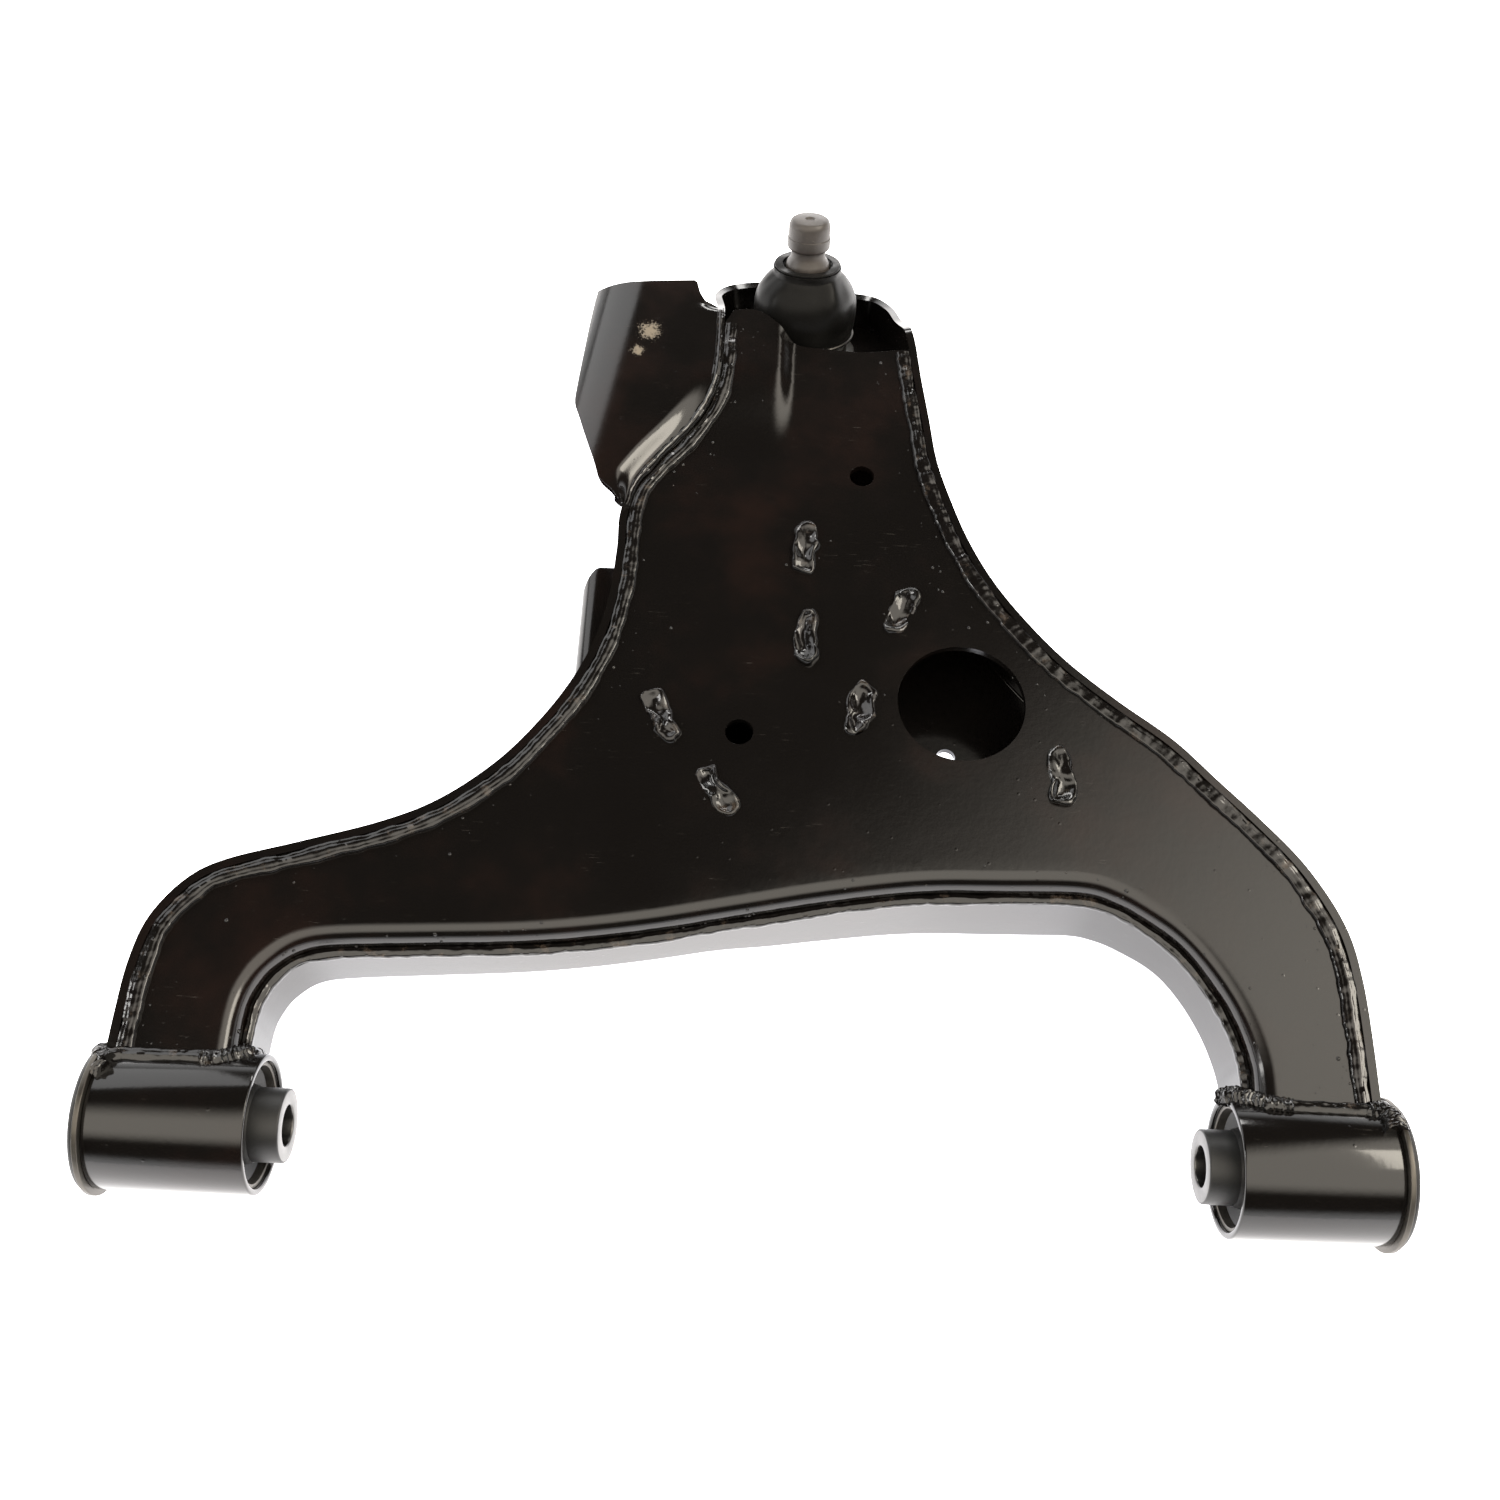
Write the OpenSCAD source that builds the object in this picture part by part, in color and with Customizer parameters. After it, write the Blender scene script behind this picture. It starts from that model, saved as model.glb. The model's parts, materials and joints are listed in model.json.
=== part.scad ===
// Front lower control arm: a welded two-shell arm with two rubber pivot
// bushings, a jounce stop pad, a damper clevis and a pinch-stud ball joint.
// Millimetres. Origin: centre of the front pivot bore. +X runs along the
// pivot axis to the rear bushing, +Y outboard to the ball joint, +Z up.

/* [Pivot bushings] */
// Distance between the two bushing centres
pivot_span = 502; // [500:0.5:504]
// Diameter of the pivot bolt bore
pivot_bore_d = 18.2; // [14:0.1:20]
// Outside diameter of the inner sleeve
inner_sleeve_d = 33; // [28:0.5:34]
// Length of the inner sleeve
inner_sleeve_len = 92; // [88:1:100]
// Outside diameter of the bushing tube
tube_d = 62; // [60:0.5:64]
// Length of the bushing tube
tube_len = 70; // [66:1:74]
// Wall of the bushing tube
tube_wall = 3; // [2.5:0.5:4]
// Diameter of the bushing flange
flange_d = 68; // [66:1:72]

/* [Shells] */
// Sheet thickness of both shells
sheet = 4; // [3:0.5:4.5]
// Height of the upper shell's top face over the pivot axis
deck_z = 20; // [18:0.5:22]
// Outside radius of the bend along the arch
bend_r = 8.5; // [7:0.5:10]
// Lowest edge of the upper shell's turned-down flange
flange_low_z = 2; // [0:0.5:4]
// Diameter of the large access hole
access_d = 64; // [50:1:70]
// Diameter of the drain hole under the access hole
drain_d = 10; // [8:1:12]

/* [Ball joint] */
// Outboard lean of the stud from the shell normal, in degrees
stud_tilt = 24.5; // [20:0.5:28]
// Diameter of the ball
ball_d = 31; // [30:0.2:31.4]
// Diameter of the stud's clamped head
stud_head_d = 24; // [22:0.5:24]
// Diameter of the stud's pinch-bolt groove
stud_groove_d = 19; // [17:0.5:20]
// Outside diameter of the dust boot
boot_d = 58.8; // [57:0.2:60]

/* [Damper bracket] */
// Diameter of the damper bolt bore
damper_bore_d = 14.2; // [12:0.1:16]
// Clear width between the two ears
damper_gap = 52; // [48:1:53]
// Height of the damper bolt axis
damper_z = -62; // [-66:1:-58]

/* [Hidden] */
$fn = 72;

paint = [0.05, 0.05, 0.055];
bare_steel = [0.55, 0.54, 0.52];
phosphate = [0.42, 0.39, 0.37];
rubber = [0.11, 0.11, 0.115];
polymer = [0.82, 0.8, 0.74];
clear = 0.05;                        // radial clearance of a running fit
tube_r = tube_d / 2;
sleeve_r = inner_sleeve_d / 2;
shell_r = tube_r - tube_wall;        // outside of the pressed-in outer sleeve
deck_low = deck_z - sheet;
wall_top = deck_z + 2;               // side walls of the lower shell stand proud of the deck
lap_z = 8;                           // top of the lower shell's wall along the arch
lap_gap = 0.5;                       // the upper shell's flange stands this far inside that wall
flange_in = sheet + lap_gap;

// Outer edge of the lower shell, clockwise from the front tube
front_edge = [[-34, 0], [-34, 40], [-33, 66], [-28, 88], [-15, 107], [2, 118], [36, 129], [72, 141],
    [98, 154], [123, 175], [142, 199], [156, 223], [165, 246], [170, 270], [172, 300], [172, 322],
    [177, 343], [188, 360], [201, 377], [211, 394], [216, 409], [217, 426], [217, 450]];
cradle_edge = [[216, 470], [214, 488], [222, 502], [240, 509], [266, 511], [293, 509], [308, 504],
    [317, 490], [321, 474]];
rear_edge = [[325, 458], [328, 444], [331, 420], [335, 393], [339, 365], [346, 340], [355, 315],
    [367, 291], [383, 268], [403, 245], [427, 224], [454, 203], [474, 182], [493, 162], [510, 142],
    [522, 122], [529, 104], [532, 84], [533, 60], [533, 0]];
arch_edge = [[475, 0], [475, 40], [472, 56], [466, 71], [457, 86], [447, 98], [435, 107], [421, 115],
    [405, 119], [369, 118], [330, 116], [287, 109], [245, 100], [198, 90], [150, 83], [100, 79.5],
    [62, 77], [45, 74], [35, 67], [29, 58], [26, 45], [26, 0]];
// Outboard edge of the deck, with the open end of the box beyond it
deck_end = [[227, 459], [236, 460], [244, 456], [253, 448], [262, 441], [280, 439], [300, 438],
    [320, 441]];
// Underside of the lower shell, across the arm and along it
floor_across = [[-40, -24], [150, -20], [215, -22], [236, -46], [330, -46], [405, -38], [430, -30],
    [455, -26], [475, -27], [540, -30]];
floor_along = [[0, -30], [40, -30], [80, -36], [110, -39], [300, -38], [390, -26]];
deck_holes = [[299, 354, 13], [240, 198, 14]];          // x, y, diameter
access_hole = [350, 219.5];
drain_hole = [349, 215.5];
// Slots that the plug welds fill: x, y, heading from +Y
plug_slots = [[270, 306, 0], [272, 253, 0], [320, 272, -25], [299, 213, -12], [201, 204, 27],
    [231, 165, 36], [398, 181, 0]];
slot_w = 9;
slot_len = 28;

// Outline of the stop pad, its folded side and its seam on the arm
pad_fold = [[171, 330], [144, 380], [143, 400], [151, 462], [166, 476]];
pad_seam = [[204, 477], [208, 466], [212.5, 455], [212.5, 426], [211, 411], [206, 397], [197, 381],
    [184, 364], [173, 346]];
pad_top_z = 29;

// Ball joint stations along the stud, from the boot seat
seat = [266, 474, 1];
ball_t = -18;
ball_r = ball_d / 2;
housing_r = 25.2;
housing_bore_r = 18.6;
boot_seat_r = 23;
floor_t = -24;                       // underside of the tilted floor
head_top_t = 61;
head_low_t = 45;
clevis_y = 276;
clevis_x = [155, 155 + damper_gap];
ear_t = 5;
slope = tan(stud_tilt);
// Underside of the tilted seat floor at a given y
function seat_floor_z(y) = seat[2] + floor_t * cos(stud_tilt)
    - (y - seat[1] - floor_t * sin(stud_tilt)) * slope;

function clamp_at(p, i) = p[max(0, min(len(p) - 1, i))];
// One point of a smooth curve through p0..p3, between p1 and p2
function curve_at(p0, p1, p2, p3, t) = 0.5 * (2 * p1 + (p2 - p0) * t
    + (2 * p0 - 5 * p1 + 4 * p2 - p3) * t * t + (3 * p1 - p0 - 3 * p2 + p3) * t * t * t);
function smooth(p, n = 2) = [for (i = [0 : len(p) - 2]) for (k = [0 : n - 1])
    curve_at(clamp_at(p, i - 1), p[i], p[i + 1], clamp_at(p, i + 2), k / n), p[len(p) - 1]];
function left_of(p, i) = let (d = clamp_at(p, i + 1) - clamp_at(p, i - 1)) [-d[1], d[0]] / norm(d);
// The path moved sideways, to the left of its heading
function shifted(p, d) = [for (i = [0 : len(p) - 1]) p[i] + left_of(p, i) * d];
function reversed(p) = [for (i = [len(p) - 1 : -1 : 0]) p[i]];
function ribbon(p, a, b) = concat(shifted(p, a), reversed(shifted(p, b)));

rim_path = smooth(concat(front_edge, cradle_edge, rear_edge));
front_path = smooth(front_edge);
rear_path = smooth(rear_edge);
arch_path = smooth(arch_edge);
function arm_outline(rim_in, arch_in) = concat(shifted(rim_path, -rim_in), shifted(arch_path, -arch_in));
// A strip of the underside profile, closed far above
function floor_profile(p, lift, top) = concat([for (q = p) [q[0], q[1] + lift]], top);
seat_floor = [for (y = [434, 520]) [y, seat_floor_z(y)]];

module at_rear() { translate([pivot_span, 0, 0]) mirror([1, 0, 0]) children(); }
module along_x() { rotate([0, 90, 0]) children(); }
module on_stud() { translate(seat) rotate([-stud_tilt, 0, 0]) children(); }
module slab(z0, z1) { translate([0, 0, z0]) linear_extrude(z1 - z0) children(); }
module turned(profile) { rotate_extrude() polygon(profile); }
// The space that both bushing tubes take out of the shells
module tube_space() {
    for (x = [0, pivot_span]) translate([x - 60, 0, 0]) along_x() cylinder(r = tube_r + clear, h = 120);
}

// ---- pivot bushings ----
module inner_sleeve() {
    half = inner_sleeve_len / 2;
    r0 = pivot_bore_d / 2;
    color(bare_steel) along_x() turned([[r0, 1 - half], [r0 + 1, -half], [sleeve_r - 1, -half],
        [sleeve_r, 1 - half], [sleeve_r, half - 1], [sleeve_r - 1, half], [r0 + 1, half], [r0, half - 1]]);
}
module bushing_rubber() {
    r0 = sleeve_r + clear;
    r1 = shell_r - 2 - 0.02;
    half = tube_len / 2;
    color(rubber) along_x() turned([[r0, -half - 6], [r0 + 4, -half - 7], [flange_d / 2 - 2, -half - 5],
        [flange_d / 2 - 1, -half - 2.6], [r1, -half - 2.6], [r1, half - 5], [r1 - 3, half - 8],
        [r0 + 3, half - 8], [r0, half - 2]]);
}
module outer_sleeve() {
    r1 = shell_r - 0.02;
    half = tube_len / 2;
    color(bare_steel) along_x() turned([[r1 - 2, -half - 2.5], [flange_d / 2, -half - 2.5],
        [flange_d / 2, -half - 0.05], [r1, -half - 0.05], [r1, half - 2], [r1 - 2, half - 2]]);
}
module bushing_tube() {
    half = tube_len / 2;
    color(paint) along_x() turned([[shell_r, -half], [tube_r, -half], [tube_r, half - 1],
        [tube_r - 1, half], [shell_r + 1, half], [shell_r, half - 1]]);
}
module front_inner_sleeve() { inner_sleeve(); }
module rear_inner_sleeve() { at_rear() inner_sleeve(); }
module front_bushing_rubber() { bushing_rubber(); }
module rear_bushing_rubber() { at_rear() bushing_rubber(); }
module front_outer_sleeve() { outer_sleeve(); }
module rear_outer_sleeve() { at_rear() outer_sleeve(); }
module front_bushing_tube() { bushing_tube(); }
module rear_bushing_tube() { at_rear() bushing_tube(); }

// ---- shells ----
// The arm's envelope between its floor, lifted by lift, and the sloping rim of the ball joint cradle
module envelope(rim_in, arch_in, lift) {
    intersection() {
        slab(-60, 40) polygon(arm_outline(rim_in, arch_in));
        translate([0, 600, 0]) rotate([90, 0, 0]) linear_extrude(620)
            polygon(floor_profile(floor_across, lift, [[540, 60], [-40, 60]]));
        translate([-60, 0, 0]) rotate([90, 0, 90]) linear_extrude(640)
            polygon(floor_profile(concat(floor_along, seat_floor), lift,
                [[520, -14 + lift * 10], [455, wall_top + lift * 10], [0, wall_top + lift * 10]]));
    }
}
module lower_shell() {
    color(paint) difference() {
        envelope(0, 0, 0);
        envelope(sheet, sheet, sheet);
        slab(lap_z, 40) polygon(arm_outline(sheet, -12));
        tube_space();
        translate(concat(drain_hole, [-60])) cylinder(d = drain_d, h = 60);
        on_stud() translate([0, 0, floor_t - 21]) cylinder(r = housing_r + clear, h = 25);
    }
}
// Outward reach of the arch bend's outer or inner face, h above its start
function bend_reach(r, h) = (h < r ? sqrt(r * r - h * h) : 0) - flange_in - bend_r;
module upper_shell() {
    bend_z = deck_z - bend_r;
    layers = 5;                      // steps that stand in for the rounded bend
    step = bend_r / layers;
    color(paint) difference() {
        union() {
            slab(deck_low, deck_z) polygon(arm_outline(sheet + 0.2, flange_in + bend_r - 1));
            slab(flange_low_z, bend_z) polygon(ribbon(arch_path, -flange_in - sheet, -flange_in));
            for (k = [0 : layers - 1])
                slab(bend_z + k * step, bend_z + (k + 1) * step)
                    polygon(ribbon(arch_path, bend_reach(bend_r - sheet, (k + 0.5) * step),
                        bend_reach(bend_r, (k + 0.5) * step)));
        }
        slab(deck_low - 1, deck_z + 1)
            polygon(concat([[150, 459]], smooth(deck_end), [[400, 441], [400, 620], [150, 620]]));
        tube_space();
        translate(concat(access_hole, [0])) cylinder(d = access_d, h = 60);
        for (h = deck_holes) translate([h[0], h[1], 0]) cylinder(d = h[2], h = 60);
        at_slots() slot_solid(deck_low - 1, deck_z + 1, slot_w + 0.1, slot_len + 0.1);
    }
}

// ---- ribs inside the box, under the plug welds ----
// A web from floor to deck along +Y with a flange at its top, centred on the origin
module rib(len, low, side) {
    color(paint) {
        translate([-1.5, -len / 2, low]) cube([3, len, deck_low - low - 3]);
        translate([side > 0 ? -1.5 : -16.5, -len / 2, deck_low - 3]) cube([18, len, 2.9]);
    }
}
module centre_rib() { translate([265, 279, 0]) rib(100, -29, 1); }
module hole_rib() { translate([305, 245, 0]) rotate(-20) rib(84, -32, 1); }
module front_rib() { translate([219, 189, 0]) rotate(30) rib(86, -16, -1); }
module rear_rib() { translate([405, 181, 0]) rib(64, -33, -1); }

// ---- welds ----
module at_slots() {
    for (s = plug_slots) translate([s[0], s[1], 0]) rotate(s[2]) children();
}
module slot_solid(z0, z1, w, len) {
    slab(z0, z1) {
        square([w, len - w], center = true);
        for (k = [-1, 1]) translate([0, k * (len - w) / 2]) circle(d = w);
    }
}
module plug_welds() {
    color(paint) at_slots() {
        slot_solid(deck_low, deck_z, slot_w, slot_len);
        slot_solid(deck_z, deck_z + 1.2, slot_w + 2, slot_len + 2);
    }
}
// A fillet bead in the corner between a proud side wall and the deck
module rim_bead(path, y_top) {
    color(paint) difference() {
        union() {
            slab(deck_z, deck_z + 1.2) polygon(ribbon(path, -sheet - 0.05, -sheet - 8));
            slab(deck_z + 1.2, deck_z + 2.4) polygon(ribbon(path, -sheet - 0.05, -sheet - 5));
        }
        tube_space();
        translate([-50, y_top, 0]) cube([620, 100, 60]);
    }
}
module front_seam_weld() { rim_bead(front_path, 449); }
module rear_seam_weld() { rim_bead(rear_path, 440); }
module arch_seam_weld() {
    color(paint) difference() {
        union() {
            slab(lap_z + 0.05, lap_z + 1.6) polygon(ribbon(arch_path, -0.4, 0.05 - flange_in));
            slab(lap_z + 1.6, lap_z + 3) polygon(ribbon(arch_path, -2.2, 0.05 - flange_in));
        }
        tube_space();
    }
}
// Beads where a leg's deck meets its tube: a wedge along X on the tube
module deck_to_tube_bead(x0, len) {
    difference() {
        translate([x0, 0, deck_z]) rotate([90, 0, 90]) linear_extrude(len)
            polygon([[18, 0], [31, 0], [22, 5], [16, 7]]);
        tube_space();
    }
}
module tube_welds() {
    color(paint) {
        deck_to_tube_bead(-18, 30);
        at_rear() deck_to_tube_bead(-18, 30);
    }
}

// ---- brackets ----
module stop_pad() {
    color(paint) {
        slab(pad_top_z - sheet, pad_top_z) polygon(concat(pad_fold, pad_seam));
        slab(-8, pad_top_z - sheet) polygon(ribbon([for (i = [1 : 4]) pad_fold[i]], 0, -sheet));
    }
}
module stop_pad_weld() {
    color(paint) slab(wall_top + 0.05, pad_top_z - sheet)
        polygon(ribbon(pad_seam, 0.5, 4.5));
}
module clevis_ear() {
    difference() {
        union() {
            translate([clevis_y - 31, -28]) square([62, 5]);
            polygon([[clevis_y - 31, -24], [clevis_y - 22, damper_z], [clevis_y + 22, damper_z],
                [clevis_y + 31, -24]]);
            translate([clevis_y, damper_z]) circle(r = 22);
        }
        translate([clevis_y, damper_z]) circle(d = damper_bore_d);
    }
}
module damper_bracket() {
    color(paint) {
        for (x = [clevis_x[0] - ear_t, clevis_x[1]])
            translate([x, 0, 0]) rotate([90, 0, 90]) linear_extrude(ear_t) clevis_ear();
        translate([clevis_x[0] - 0.01, clevis_y - 31, -28]) cube([damper_gap + 0.02, 72, 5]);
    }
}
module bracket_weld() {
    color(paint) for (y = [clevis_y - 35, clevis_y + 41.05])
        translate([178, y, -26]) cube([24, 4, 4.2]);
}

// ---- ball joint ----
module ball_joint_housing() {
    color(bare_steel) on_stud() difference() {
        turned([[13.2, -7], [17.2, 0], [boot_seat_r - 1, 0], [boot_seat_r, -1], [boot_seat_r, -9],
            [housing_r, -11], [housing_r, -14.5], [30, -15.5], [30, floor_t + 4.1], [housing_r, floor_t + 4.1],
            [housing_r, -39], [24, -40], [17.5, -40], [17.5, -38.8], [housing_bore_r, -38.8],
            [housing_bore_r, -7]]);
        translate([0, 0, floor_t - 2.6]) difference() {
            cylinder(r = 30, h = 2.1);
            cylinder(r = 23.6, h = 10, center = true);
        }
    }
}
module bearing_race() {
    color(polymer) on_stud() difference() {
        translate([0, 0, ball_t + 1]) cylinder(r = housing_bore_r - clear, h = 9.9);
        translate([0, 0, ball_t]) sphere(r = ball_r + clear);
        translate([0, 0, ball_t + 8.4]) cylinder(r1 = 13, r2 = 14.3, h = 3);
    }
}
// A pad that floats between the ball and the cup, both faces centred on the ball
module floating_seat() {
    color(polymer) on_stud() translate([0, 0, ball_t]) difference() {
        sphere(r = ball_r + 2);
        sphere(r = ball_r + clear);
        translate([0, 0, 22 - 12.5]) cube([44, 44, 44], center = true);
    }
}
module pressure_cup() {
    color(polymer) on_stud() difference() {
        translate([0, 0, -36.6]) cylinder(r = housing_bore_r - clear, h = 17);
        translate([0, 0, ball_t]) sphere(r = ball_r + 2.1);
    }
}
module preload_spring() {
    color(bare_steel) on_stud() turned([[8, -36.7], [8, -37.3], [17, -37.3], [17, -36.7]]);
}
module cover_plate() {
    color(bare_steel) on_stud() translate([0, 0, -38.75]) cylinder(r = housing_bore_r - clear, h = 1.4);
}
module retaining_ring() {
    color(phosphate) on_stud() translate([0, 0, floor_t - 2.5]) difference() {
        cylinder(r = 29, h = 1.9);
        translate([0, 0, -1]) cylinder(r = 23.7, h = 4);
    }
}
module boot_clamp_ring() {
    color(bare_steel) on_stud() translate([0, 0, -5]) rotate_extrude()
        translate([boot_d / 2 - 1.1, 0]) circle(d = 1.6, $fn = 24);
}
module dust_boot() {
    r = boot_d / 2;
    color(rubber) on_stud() turned([[boot_seat_r + 0.1, -8], [r - 3.4, -8], [r - 2, -6], [r - 2, -4],
        [r - 1.4, -2], [r - 0.5, 3], [r, 10], [r - 0.6, 16], [r - 2.4, 21], [r - 5.8, 26], [r - 9.2, 29.5],
        [r - 10.2, 31], [r - 10.2, 34], [13.2, 34], [12.9, 32], [13.2, 29.5], [16.5, 28], [r - 7.9, 24],
        [r - 5, 20], [r - 3.2, 15], [r - 2.5, 10], [r - 3, 4], [boot_seat_r + 0.1, 0]]);
}
module boot_lip_ring() {
    color(rubber) on_stud() translate([0, 0, 34.3]) difference() {
        cylinder(r = 18.6, h = 1.2);
        translate([0, 0, -1]) cylinder(r = 14.2, h = 4);
    }
}
module ball_stud() {
    head_r = stud_head_d / 2;
    groove_r = stud_groove_d / 2;
    color(phosphate) on_stud() {
        translate([0, 0, ball_t]) sphere(r = ball_r);
        turned([[0, ball_t], [8, ball_t + 2], [8, 4], [head_r, 14], [head_r + 0.4, 35], [head_r - 0.4, 37],
            [groove_r + 0.3, 39.5], [groove_r, 41.5], [groove_r + 0.3, 43.5], [head_r, head_low_t],
            [head_r, head_top_t - 2.5], [head_r - 2, head_top_t], [0, head_top_t]]);
    }
}

front_inner_sleeve();
rear_inner_sleeve();
front_bushing_rubber();
rear_bushing_rubber();
front_outer_sleeve();
rear_outer_sleeve();
front_bushing_tube();
rear_bushing_tube();
lower_shell();
upper_shell();
stop_pad();
damper_bracket();
centre_rib();
hole_rib();
front_rib();
rear_rib();
plug_welds();
front_seam_weld();
rear_seam_weld();
arch_seam_weld();
tube_welds();
stop_pad_weld();
bracket_weld();
ball_joint_housing();
bearing_race();
floating_seat();
pressure_cup();
preload_spring();
cover_plate();
retaining_ring();
boot_clamp_ring();
dust_boot();
boot_lip_ring();
ball_stud();
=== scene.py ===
"""Studio model of a welded lower control arm, built around its packed frame.

Shapes are worked out in millimetres in the arm's own frame (X along the pivot
axis, Y outboard, Z out of the deck) and turned to metres as each mesh is made.
"""
import json
import math

import bmesh
import bpy
from bpy.props import FloatProperty, FloatVectorProperty, IntProperty, PointerProperty
from mathutils import Matrix, Vector
from mathutils.geometry import delaunay_2d_cdt


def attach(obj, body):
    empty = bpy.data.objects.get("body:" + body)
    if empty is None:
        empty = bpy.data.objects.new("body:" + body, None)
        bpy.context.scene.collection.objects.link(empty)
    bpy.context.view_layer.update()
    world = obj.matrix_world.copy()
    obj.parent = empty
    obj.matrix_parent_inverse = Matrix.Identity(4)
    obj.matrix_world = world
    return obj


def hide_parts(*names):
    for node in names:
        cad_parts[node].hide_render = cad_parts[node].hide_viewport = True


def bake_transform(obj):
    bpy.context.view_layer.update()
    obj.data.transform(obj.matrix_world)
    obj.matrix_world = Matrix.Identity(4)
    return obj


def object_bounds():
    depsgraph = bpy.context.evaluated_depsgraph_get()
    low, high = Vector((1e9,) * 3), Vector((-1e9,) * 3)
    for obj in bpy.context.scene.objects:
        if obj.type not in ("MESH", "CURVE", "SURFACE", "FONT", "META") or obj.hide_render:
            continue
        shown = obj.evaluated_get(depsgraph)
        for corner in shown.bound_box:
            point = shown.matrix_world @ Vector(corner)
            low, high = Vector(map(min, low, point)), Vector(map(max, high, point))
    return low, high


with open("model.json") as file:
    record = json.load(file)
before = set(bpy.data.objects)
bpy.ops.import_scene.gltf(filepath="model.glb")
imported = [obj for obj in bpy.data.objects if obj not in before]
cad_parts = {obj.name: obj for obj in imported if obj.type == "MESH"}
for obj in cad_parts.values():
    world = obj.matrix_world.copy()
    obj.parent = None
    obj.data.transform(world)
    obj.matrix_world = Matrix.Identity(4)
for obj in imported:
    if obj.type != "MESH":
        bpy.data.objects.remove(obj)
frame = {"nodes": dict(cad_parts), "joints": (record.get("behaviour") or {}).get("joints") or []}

CAD_BOX = [list(corner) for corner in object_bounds()]

bl_info = {
    "name": "Lower control arm",
    "version": (1, 0, 0),
    "blender": (4, 5, 0),
    "location": "View3D > Sidebar > Control arm",
    "description": "Builds a pressed and welded suspension arm with its bushings and ball joint",
    "category": "Object",
}

MM = 0.001

# The outlines of the pressings, in millimetres, clockwise from the front tube.
FRONT_EDGE = [(-34, 10), (-34, 40), (-33, 66), (-28, 88), (-15, 107), (2, 118), (36, 129), (72, 141),
              (98, 154), (123, 175), (142, 199), (156, 223), (165, 246), (170, 270), (172, 300),
              (172, 322), (177, 343), (188, 360), (201, 377), (211, 394), (216, 409), (217, 426),
              (217, 450)]
CRADLE_EDGE = [(216, 470), (214, 488), (222, 502), (240, 509), (266, 511), (293, 509), (308, 504),
               (317, 490), (321, 474)]
REAR_EDGE = [(325, 458), (328, 444), (331, 420), (335, 393), (339, 365), (346, 340), (355, 315),
             (367, 291), (383, 268), (403, 245), (427, 224), (454, 203), (474, 182), (493, 162),
             (510, 142), (522, 122), (529, 104), (532, 84), (533, 60), (533, 10)]
ARCH_EDGE = [(475, 10), (475, 40), (472, 56), (466, 71), (457, 86), (447, 98), (435, 107), (421, 115),
             (405, 119), (369, 118), (330, 116), (287, 109), (245, 100), (198, 90), (150, 83),
             (100, 79.5), (62, 77), (45, 74), (35, 67), (29, 58), (26, 45), (26, 10)]
DECK_END = [(226, 459), (236, 460), (244, 457), (253, 449), (262, 441), (280, 439), (300, 438),
            (321, 441)]
# Underside of the lower shell across and along the arm: position, height.
FLOOR_ACROSS = [(-40, -24), (150, -20), (215, -22), (240, -46), (330, -46), (405, -38), (430, -30),
                (455, -26), (475, -27), (540, -30)]
FLOOR_ARCH = [(-40, -25), (60, -27), (114, -24), (150, -22), (205, -21), (235, -22), (258, -29),
              (283, -33), (334, -38), (402, -40), (430, -31), (446, -27), (460, -25), (475, -30),
              (540, -31)]
FLOOR_ALONG = [(0, -31), (40, -31), (80, -38), (110, -40), (300, -38), (390, -26)]
DECK_HOLES = [(350, 219.5, 32), (299, 354, 6.5), (240, 198, 7)]       # x, y, radius
DRAIN_HOLE = (349, 215.5, 5)
# Plug weld slots: x, y, heading in degrees.
PLUG_SLOTS = [(270, 306, 0), (272, 253, 0), (320, 272, -25), (299, 213, -12), (201, 204, 27),
              (231, 165, 36), (398, 181, 0)]
PAD_SEAM = [(174, 327), (178, 342), (189, 359.5), (202, 376.5), (212, 393.6), (217, 408.8), (218, 426),
            (218, 450), (217.5, 459)]
PAD_FOLD = [(171, 326.5), (167.4, 331.9), (160.4, 339.3), (155.4, 352.5), (150, 367.7), (145.7, 380.8),
            (142, 393), (142, 405), (143.5, 430), (145, 452), (146.5, 468)]
PAD_END = [(217.5, 459), (214, 461.3), (209.3, 462.5), (206.2, 468.1), (204.1, 476.7), (188, 475.6),
           (172.1, 474.1), (160, 474.5), (152, 475), (147.5, 475.5)]
PAD_TOP = 29
PAD_CURL = ((167, 400), (176, 471), 42)        # two points of the line where the curl starts, its radius
PAD_SCUFFS = [(180.1, 439.3, 4.2), (174.5, 425, 2.6)]                 # x, y, radius
CLEVIS = (150, 212, 276, -62)                  # outer faces of the ears, bolt axis y and z
CLEVIS_SHEET = 5.0
CLEVIS_EYE = 22                                # radius of the ears' round ends
CLEVIS_BORE = 7.1

# Stations of the ball joint along its stud, in millimetres from the boot's seat.
SEAT = Vector((266, 474, 1))
BALL_T = -18
BALL_R = 15.5
NECK_R = 8
HOUSING_R = 25.2
FLOOR_T = -24
BOOT_BASE_T = 2
BOOT_SPLIT_T = 23
BOOT_TOP_T = 28.5
TUBE_R = 31
LEG_END = 10                                   # y at which the outlines start, inside the tubes
PIVOT_SPAN = 502
FRONT_LEG = (-34, 26)                          # x of each leg's outer side and arch side
REAR_LEG = (533, 475)

# Angles between faces over which an edge is shaded sharp.
SHARP = math.radians(40)
SHARP_BEAD = math.radians(50)


# ---- sizes and finishes a user may change ----

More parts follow.
